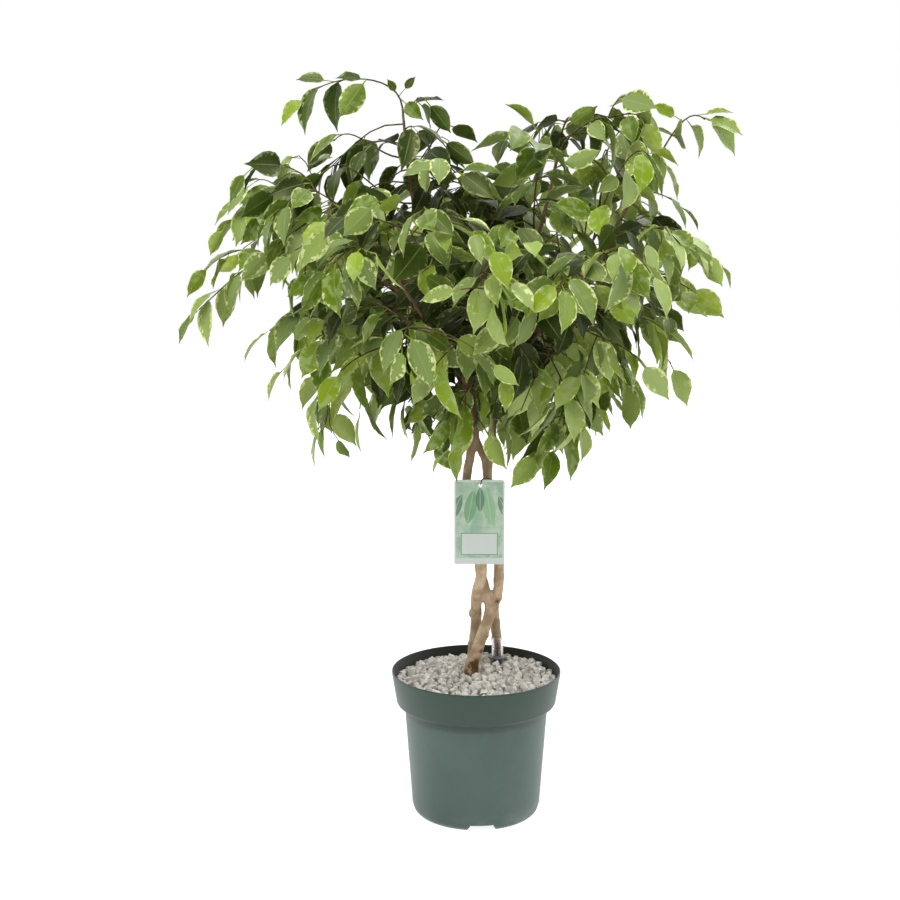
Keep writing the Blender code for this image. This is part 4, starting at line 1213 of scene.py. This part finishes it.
# A leaf's sheet: rows of points across it from the stalk's root to the drip tip, with its upper side's way.
def leafSheet(root, pose, habit):
    stalkWay, bladeWay, facing, length = pose
    wide = bladeWay.cross(facing).normalized()
    widest = length * leaf["widthRatio"] * habit["width"] / 2
    way = across(stalkWay, wide)
    place = root
    before = 0.0
    rows = [(place, way, leaf["stalkHalf"])]
    place = place + way * leaf["stalk"]
    for along, share in leaf["rows"]:
        if along:
            curl = habit["curl"] * ((along + before) / 2) ** 1.5
            way = (bladeWay - facing * curl).normalized()
            place = place + way * ((along - before) * length)
            before = along
        rows.append((place, way, widest * share))
    sheet = []
    for number, (place, way, half) in enumerate(rows):
        up = wide.cross(way)
        line = []
        for column in range(leaf["columns"] + 1):
            side = 2.0 * column / leaf["columns"] - 1.0
            turn = habit["phase"] + number * leaf["ripple"][0] + side * leaf["ripple"][1]
            ripple = habit["wave"] * math.sin(turn) * side * side
            lift = abs(side) * half * habit["fold"] + (ripple if 2 <= number <= 6 else 0.0)
            line.append(place + wide * (side * half) + up * lift)
        sheet.append((line, up))
    return sheet


sheetFaces = []
for row in range(len(leaf["rows"])):
    for column in range(leaf["columns"]):
        corner = row * (leaf["columns"] + 1) + column
        sheetFaces.append((corner, corner + 1, corner + leaf["columns"] + 2, corner + leaf["columns"] + 1))


def sheetPoints(sheet):
    return [point for line, up in sheet for point in line]


# A sheet without its stalk, which may touch the twig that it stands on.
def trimmedSheet(sheet):
    return sheetPoints(sheet)[leaf["columns"] + 1:], sheetFaces[:-leaf["columns"]]


# A closed leaf to copy: an upper sheet and an under one that share their margin, with the map of the blade.
def makeLeafTemplate():
    build = bmesh.new()
    rowCount = len(leaf["rows"]) + 1
    bmesh.ops.create_grid(build, x_segments=leaf["columns"], y_segments=rowCount - 1, size=0.5)
    copied = bmesh.ops.duplicate(build, geom=build.verts[:] + build.edges[:] + build.faces[:])["geom"]
    under = [item for item in copied if isinstance(item, bmesh.types.BMFace)]
    bmesh.ops.reverse_faces(build, faces=under)
    inner = [item for item in copied if isinstance(item, bmesh.types.BMVert)
             and abs(item.co.x) < 0.49 and abs(item.co.y) < 0.49]
    bmesh.ops.translate(build, verts=inner, vec=(0.0, 0.0, -1.0))
    for face in under:
        face.material_index = 1
    bmesh.ops.remove_doubles(build, verts=build.verts, dist=0.0001)
    bladeMap = build.loops.layers.uv.new("leafMap")
    build.loops.layers.uv.new("leafTone")
    marks = [-0.22] + [along for along, share in leaf["rows"]]
    for face in build.faces:
        for loop in face.loops:
            row = round((loop.vert.co.y + 0.5) * (rowCount - 1))
            loop[bladeMap].uv = (loop.vert.co.x + 0.5, marks[row])
    mesh = bpy.data.meshes.new("leaf_template")
    build.to_mesh(mesh)
    build.free()
    keys = []
    for vertex in mesh.vertices:
        row = round((vertex.co.y + 0.5) * (rowCount - 1))
        column = round((vertex.co.x + 0.5) * leaf["columns"])
        keys.append((row, column, vertex.co.z < -0.5))
    return mesh, keys


leafTemplate, leafKeys = makeLeafTemplate()


def addLeaf(build, sheet, habit):
    build.from_mesh(leafTemplate)
    middle = leaf["columns"] / 2
    for vertex, (row, column, isUnder) in zip(build.verts[-len(leafKeys):], leafKeys):
        line, up = sheet[row]
        vertex.co = line[column]
        if isUnder:
            deep = leaf["stalkThickness"] if row < 2 else leaf["thickness"]
            vertex.co -= up * deep * (1.0 - ((column - middle) / middle) ** 2)
    tone = build.loops.layers.uv["leafTone"]
    for face in build.faces[-len(leafTemplate.polygons):]:
        for loop in face.loops:
            loop[tone].uv = (habit["tint"], habit["cream"])


# Everything that takes room in the crown, sorted into cells so that only near things are compared.
cells = {}


def cellsOf(points):
    low = [min(point[axis] for point in points) // crown["cell"] for axis in range(3)]
    high = [max(point[axis] for point in points) // crown["cell"] for axis in range(3)]
    for x in range(int(low[0]), int(high[0]) + 1):
        for y in range(int(low[1]), int(high[1]) + 1):
            for z in range(int(low[2]), int(high[2]) + 1):
                yield x, y, z


def takeRoom(owner, points, faces):
    entry = (owner, BVHTree.FromPolygons(points, faces))
    for cell in cellsOf(points):
        cells.setdefault(cell, []).append(entry)


def hasRoom(owner, points, faces):
    tree = BVHTree.FromPolygons(points, faces)
    seen = set()
    for cell in cellsOf(points):
        for entry in cells.get(cell, ()):
            if entry[0] != owner and id(entry) not in seen:
                seen.add(id(entry))
                if tree.overlap(entry[1]):
                    return False
    return not any(tree.overlap(solid) for solid in fixedTrees)


def nodeTree(name):
    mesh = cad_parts[name].data
    return BVHTree.FromPolygons([vertex.co - potAxis for vertex in mesh.vertices],
                                [polygon.vertices[:] for polygon in mesh.polygons])


fixedTrees = [nodeTree("trunk"), nodeTree("hang_tag"), nodeTree("tag_tie")]


# A twig's tube as a few flat bands, for comparing only.
def twigBands(stations):
    points = []
    for place, radius in stations:
        for way in (Vector((radius, 0, 0)), Vector((0, radius, 0)), Vector((0, 0, radius))):
            points += [place + way, place - way]
    faces = []
    for number in range(len(stations) - 1):
        for pair in range(0, 6, 2):
            start = number * 6 + pair
            faces.append((start, start + 1, start + 7, start + 6))
    return points, faces


# The crown's bottom and top over a place; none outside it.
def crownRange(x, y):
    aside = math.copysign(math.hypot(x, y * crown["depthShare"]), x) / mm
    rows = crown["outline"]
    if not rows[0][0] < aside < rows[-1][0]:
        return 0.0, 0.0
    for (a, topA, lowA), (b, topB, lowB) in zip(rows, rows[1:]):
        if aside <= b:
            share = (aside - a) / (b - a)
            return (lowA + (lowB - lowA) * share) * mm, (topA + (topB - topA) * share) * mm


def inCrown(point):
    bottom, top = crownRange(point.x, point.y)
    return bottom < point.z < top


# The strands show from the front between the tag and the fork, so no added leaf hangs there.
def beforeTrunk(point):
    low, high, top = crown["clearing"]
    return low < point.x / mm < high and point.y < 0.03 and point.z / mm < top


boxLow = Vector(cadLow) - potAxis
boxHigh = Vector(cadHigh) - potAxis


def inBox(point, room=0.004):
    return all(boxLow[axis] - room < point[axis] < boxHigh[axis] + room for axis in range(3))


# Stands a leaf at a place if one of a few tries is clear of all the others; gives its sheet.
def growLeaf(draw, owner, root, along, hand, last, habit, free):
    for attempt in range(leaf["attempts"]):
        sheet = leafSheet(root, leafPose(draw, root, along, hand, last, leaf["addedStand"]), habit)
        tip = sheetPoints(sheet)[-1]
        if not inBox(tip) or not free and not inCrown(tip) or beforeTrunk(tip) or beforeTrunk(root):
            continue
        if hasRoom(owner, *trimmedSheet(sheet)):
            return sheet
    return None


# One shoot with its twigs and leaves, gathered first and made at the end.
def newShoot(name):
    return {"name": name, "twigs": [], "leaves": []}


def addTwig(shoot, stations):
    shoot["twigs"].append(stations)
    takeRoom(shoot["name"], *twigBands(stations))


def addSheet(shoot, sheet, habit):
    shoot["leaves"].append((sheet, habit))
    takeRoom(None, sheetPoints(sheet), sheetFaces)


# The solids' leaves again: the same draws, kept where the node holds a tip at that place.
def growPlainLeaves(shoot, number, leave):
    line = shoot["line"]
    draw = random.Random(leaf["seed"] + number)
    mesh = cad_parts["leafy_stem_%02d" % (number + 1)].data
    corners = KDTree(len(mesh.vertices))
    for index, vertex in enumerate(mesh.vertices):
        corners.insert(vertex.co - potAxis, index)
    corners.balance()
    reach = coarseLength(line, leave)
    count = max(4, round((reach - 0.03) / leaf["spacing"]))
    shares = []
    for index in range(count):
        last = index == count - 1
        distance = reach - 0.004 if last else reach - (count - 1 - index) * leaf["spacing"]
        spot, along, share = coarseStation(line, leave, distance)
        shares.append(share)
        for attempt in range(leaf["attempts"]):
            pose = leafPose(draw, spot, along, (-1) ** index, last, leaf["plainStand"])
            if corners.find(plainTip(spot, *pose))[2] < leaf["tipRoom"]:
                habit = leafHabit(shoot["draw"], shoot["tone"], spot)
                addSheet(shoot, leafSheet(bezier(line, share), pose, habit), habit)
                break
    return shares


# Stands leaves at their shares of a twig; gives the share of the last one that found room.
def growLeavesAlong(shoot, draw, line, shares, tone, free, ends):
    reached = 0.0
    for number, share in enumerate(shares):
        last = ends and number == len(shares) - 1
        root = bezier(line, share)
        habit = leafHabit(draw, tone, root)
        sheet = growLeaf(draw, shoot["name"], root, wayAt(line, share), (-1) ** number, last, habit, free)
        if sheet:
            addSheet(shoot, sheet, habit)
            reached = share
    return reached


# A shoot that arches from its root to a tip, if its twig finds room; the twig ends at its last leaf.
def growArch(shoot, draw, root, way, tip, sunk, tone, free):
    line = archLine(root, way, tip, twig["sideSag"])
    stations = twigStations(line, way, sunk, twig["sideRadius"], twig["endRadius"], twig["sideRings"])
    if not hasRoom(shoot["name"], *twigBands(stations[2:])):
        return False
    count = max(3, round(((tip - root).length - 0.012) / crown["addedSpacing"]) + 1)
    shares = [(index + 0.7) / count for index in range(count - 1)] + [0.99]
    reached = growLeavesAlong(shoot, draw, line, shares, tone, free, True)
    if reached:
        addTwig(shoot, stations[:math.ceil(reached * twig["sideRings"]) + 2])
    return reached > 0.0


# A side shoot from a place on a twig or limb, kept inside the crown.
def growSideShoot(shoot, draw, root, leave, lengths, sunk, tone):
    for attempt in range(crown["sideTries"]):
        way = jittered(draw, leave, crown["sideShake"])
        slope = (way + down * draw.uniform(*crown["sideDroop"])).normalized()
        tip = root + slope * draw.uniform(*lengths)
        if inCrown(tip) and growArch(shoot, draw, root, way, tip, sunk, tone, False):
            return


# Leaf and twig finishes

def leafPatternGroup():
    tree, put, out = newGroup(
        "leafPattern", [(name, "Color", colour) for name, colour in leaf["colours"].items()],
        [("Color", "Color"), ("Veins", "Float"), ("Margin", "Float")])
    blade = partsOf(tree, node(tree, "UVMap", uv_map="leafMap").outputs[0])
    tone = partsOf(tree, node(tree, "UVMap", uv_map="leafTone").outputs[0])
    tint, variety, along = tone["X"], tone["Y"], blade["Y"]
    aside = maths(tree, "ABSOLUTE", minus(tree, times(tree, blade["X"], 2.0), 1.0))
    place = objectPlace(tree)
    patches = cloudy(tree, place, 95.0, 2.0)
    edging = cloudy(tree, place, 190.0, 3.0)
    # the tint picks the colour: deep green with painted shade, the leaves' own green, lime with painted light
    # through the leaf, sage with a painted sky reflection
    colour = blend(tree, ramp(tree, tint, 0.0, 0.38), put["DeepAndShade"], put["Green"])
    colour = blend(tree, ramp(tree, tint, 0.38, 0.66), colour, put["LimeAndBacklight"])
    colour = blend(tree, ramp(tree, tint, 0.64, 0.92), colour, put["SageAndSkyReflection"])
    # the blade is yellower towards its edge, and greyer in patches or over its middle
    lively = ramp(tree, tint, 0.03, 0.36)
    yellower = times(tree, ramp(tree, aside, 0.4, 1.0), ramp(tree, edging, 0.30, 0.62))
    colour = blend(tree, times(tree, yellower, lively), colour, put["LimeAndBacklight"], 0.5)
    paler = plus(tree, 0.03, times(tree, ramp(tree, tint, 0.12, 0.5), 0.43))
    patchy = times(tree, ramp(tree, patches, 0.46, 0.64), paler)
    middle = times(tree, ramp(tree, aside, 0.95, 0.55), times(tree, lively, 0.42))
    greyed = times(tree, ramp(tree, variety, 0.45, 0.75), middle)
    colour = blend(tree, maths(tree, "MAXIMUM", patchy, greyed), colour, put["SageAndSkyReflection"])
    # side veins leave the midrib and run out and up
    phase = minus(tree, times(tree, along, 11.0), times(tree, aside, 3.2))
    wave = maths(tree, "ABSOLUTE", minus(tree, maths(tree, "FRACT", phase), 0.5))
    sideVeins = times(tree, ramp(tree, wave, 0.12, 0.0), ramp(tree, aside, 0.95, 0.6))
    midrib = ramp(tree, aside, 0.065, 0.02)
    veins = maths(tree, "MAXIMUM", midrib, times(tree, sideVeins, 0.3))
    shown = maths(tree, "MAXIMUM", times(tree, midrib, 0.3), times(tree, sideVeins, 0.07))
    colour = blend(tree, shown, colour, put["SageAndSkyReflection"])
    # the cream margin is broken, and wide on some leaves only
    inset = plus(tree, 1.02, times(tree, variety, -0.15))
    reach = plus(tree, 0.22, times(tree, ramp(tree, variety, 0.72, 0.95), 0.5))
    limit = minus(tree, inset, times(tree, ramp(tree, edging, 0.42, 0.75), reach))
    strength = plus(tree, 0.36, times(tree, ramp(tree, patches, 0.40, 0.62), 0.50))
    strength = times(tree, strength, plus(tree, 0.25, times(tree, lively, 0.75)))
    margin = times(tree, ramp(tree, minus(tree, aside, limit), -0.07, 0.07), strength)
    margin = times(tree, margin, ramp(tree, along, 0.0, 0.04))
    colour = blend(tree, margin, colour, put["Cream"])
    colour = blend(tree, ramp(tree, along, 0.02, -0.02), colour, put["LimeAndBacklight"], 0.8)
    for value, label in ((colour, "Color"), (veins, "Veins"), (margin, "Margin")):
        tree.links.new(value, out[label])
    return tree


def leafMaterial(name, roughness, relief, **colours):
    material, tree, shader = newMaterial(name, {
        "Specular IOR Level": 0.32, "Specular Tint": (1.0, 1.0, 0.5, 1.0)})
    pattern = useGroup(tree, leafPattern, **colours)
    fine = useGroup(tree, grain, **{"Scale": 1600.0, "Patch Scale": 30.0})
    colourInto(tree, shader, pattern["Color"])
    roughInto(tree, shader, fine["Patches"], roughness, 0.16)
    height = plus(tree, times(tree, pattern["Veins"], relief), times(tree, fine["Speckle"], 0.25))
    bumpInto(tree, shader, height, 0.00022)
    return material


def twigMaterial():
    material, tree, shader = newMaterial("twigBark", {"Roughness": 0.75, "Specular IOR Level": 0.2})
    mottle = cloudy(tree, objectPlace(tree), 130.0, 4.0)
    colourInto(tree, shader, blend(tree, ramp(tree, mottle, 0.36, 0.66), *twig["colours"]))
    bumpInto(tree, shader, mottle, 0.0004)
    return material


leafPattern = leafPatternGroup()
leafTop = leafMaterial("leafTop", 0.32, -0.7)
leafUnder = leafMaterial("leafUnder", 0.42, 0.8, **leaf["underColours"])
twigBark = twigMaterial()


def makeShoot(shoot, replaced):
    build = bmesh.new()
    for stations in shoot["twigs"]:
        growTube(build, stations, twig["sides"])
    bmesh.ops.recalc_face_normals(build, faces=build.faces)
    for face in build.faces:
        face.material_index = 2
    build.loops.layers.uv.new("leafMap")
    build.loops.layers.uv.new("leafTone")
    for sheet, habit in shoot["leaves"]:
        addLeaf(build, sheet, habit)
    bmesh.ops.translate(build, verts=build.verts, vec=potAxis)
    finishPiece(shoot["name"], build, [leafTop, leafUnder, twigBark], replaced, 62.0)


# The leafy stems with the solids' own leaves.
def openShoots():
    shoots = []
    for number, (limb, fraction, tip) in enumerate(stems):
        shoot = newShoot("shoot_%02d" % (number + 1))
        shoot["line"], leave = stemLine(limb, fraction, tip)
        sunk = twig["endSunk"] if fraction == 1.0 else twig["stemSunk"]
        addTwig(shoot, twigStations(shoot["line"], leave, sunk, twig["rootRadius"], twig["tipRadius"],
                                    twig["fineRings"]))
        shoot["draw"] = random.Random(crown["seed"] + number)
        shoot["tone"] = shoot["draw"].uniform(*crown["tones"])
        shoot["shares"] = growPlainLeaves(shoot, number, leave)
        shoots.append(shoot)
    print("leaves of the solids:", sum(len(shoot["leaves"]) for shoot in shoots))
    return shoots


# The shoots that are stood one by one, on a limb or on a leafy stem.
def placeShoots(shoots, inner, draw):
    shake = crown["placedShake"]
    for carrier, share, tip in crown["placed"]:
        tip = Vector(tip) * mm
        if isinstance(carrier, str):
            root, along, radius = limbStation(carrier, share)
            shoot, tone, sunk = inner[carrier], draw.uniform(*crown["placedTones"]), radius * 0.7
        else:
            shoot = shoots[carrier - 1]
            root, along, radius = bezier(shoot["line"], share), wayAt(shoot["line"], share), 0.0
            tone, sunk = shoot["tone"], twig["sideSunk"]
        way = (across(tip - root + rise, along) + along * 0.4).normalized()
        for attempt in range(crown["placedTries"]):
            nearTip = tip + Vector([draw.uniform(-shake, shake) for axis in range(3)])
            if growArch(shoot, draw, root + way * radius * 0.8, way, nearTip, sunk, tone, True):
                break
        else:
            print("no room for the shoot at", carrier, share)


def placeLeaves(shoots, draw):
    for number, share, bladeWay, facing, length in crown["placedLeaves"]:
        shoot = shoots[number - 1]
        bladeWay = Vector(bladeWay).normalized()
        pose = (bladeWay, bladeWay, across(Vector(facing), bladeWay), length * mm)
        root = bezier(shoot["line"], share)
        habit = leafHabit(draw, shoot["tone"], root)
        sheet = leafSheet(root, pose, habit)
        if hasRoom(shoot["name"], *trimmedSheet(sheet)):
            addSheet(shoot, sheet, habit)
        else:
            print("no room for the leaf at", number, share)


# More leaves between the solids' own, then side shoots.
def fillStems(shoots):
    farthest, share = crown["firstLeaf"]
    for number, shoot in enumerate(shoots, 1):
        if number not in crown["bareStems"]:
            shares = shoot["shares"]
            between = [(a + b) / 2 for a, b in zip(shares, shares[1:])]
            if shares[0] > farthest:
                between.insert(0, shares[0] * share)
            growLeavesAlong(shoot, shoot["draw"], shoot["line"], between, shoot["tone"],
                            number in crown["looseStems"], False)
    for number, shoot in enumerate(shoots, 1):
        if number in crown["quietStems"]:
            continue
        for index in range(crown["sideShoots"]):
            share = shoot["draw"].uniform(*crown["sidePlaces"])
            along = wayAt(shoot["line"], share)
            level = across(along.cross(down), along) * (-1) ** index
            growSideShoot(shoot, shoot["draw"], bezier(shoot["line"], share),
                          (along * 0.5 + level * 0.8).normalized(), crown["sideShootLength"],
                          twig["sideSunk"], shoot["tone"])


def fillLimbs(inner):
    for number, limb in enumerate(limbs):
        draw = random.Random(crown["seed"] + crown["limbSeed"] + number)
        for index in range(crown["limbShoots"]):
            spot, along, radius = limbStation(limb, draw.uniform(*crown["limbPlaces"]))
            turn = draw.uniform(0.0, math.tau)
            slant = draw.uniform(*crown["limbSlant"])
            aside = across(Vector((math.cos(turn), math.sin(turn), slant)), along)
            # these leaves inside the crown take deep tones as painted shade
            growSideShoot(inner[limb], draw, spot + aside * radius, (aside + along * 0.5).normalized(),
                          crown["limbShootLength"], radius * 0.6, draw.uniform(*crown["innerShadeTones"]))


def growCrown():
    shoots = openShoots()
    inner = {limb: newShoot("inner_shoots_" + limb) for limb in limbs}
    draw = random.Random(crown["seed"] - 1)
    placeShoots(shoots, inner, draw)
    placeLeaves(shoots, draw)
    fillStems(shoots)
    fillLimbs(inner)
    for number, shoot in enumerate(shoots, 1):
        makeShoot(shoot, ["leafy_stem_%02d" % number])
    for shoot in inner.values():
        makeShoot(shoot, ())
    print("leaves in all:", sum(len(shoot["leaves"]) for shoot in (*shoots, *inner.values())))


growCrown()
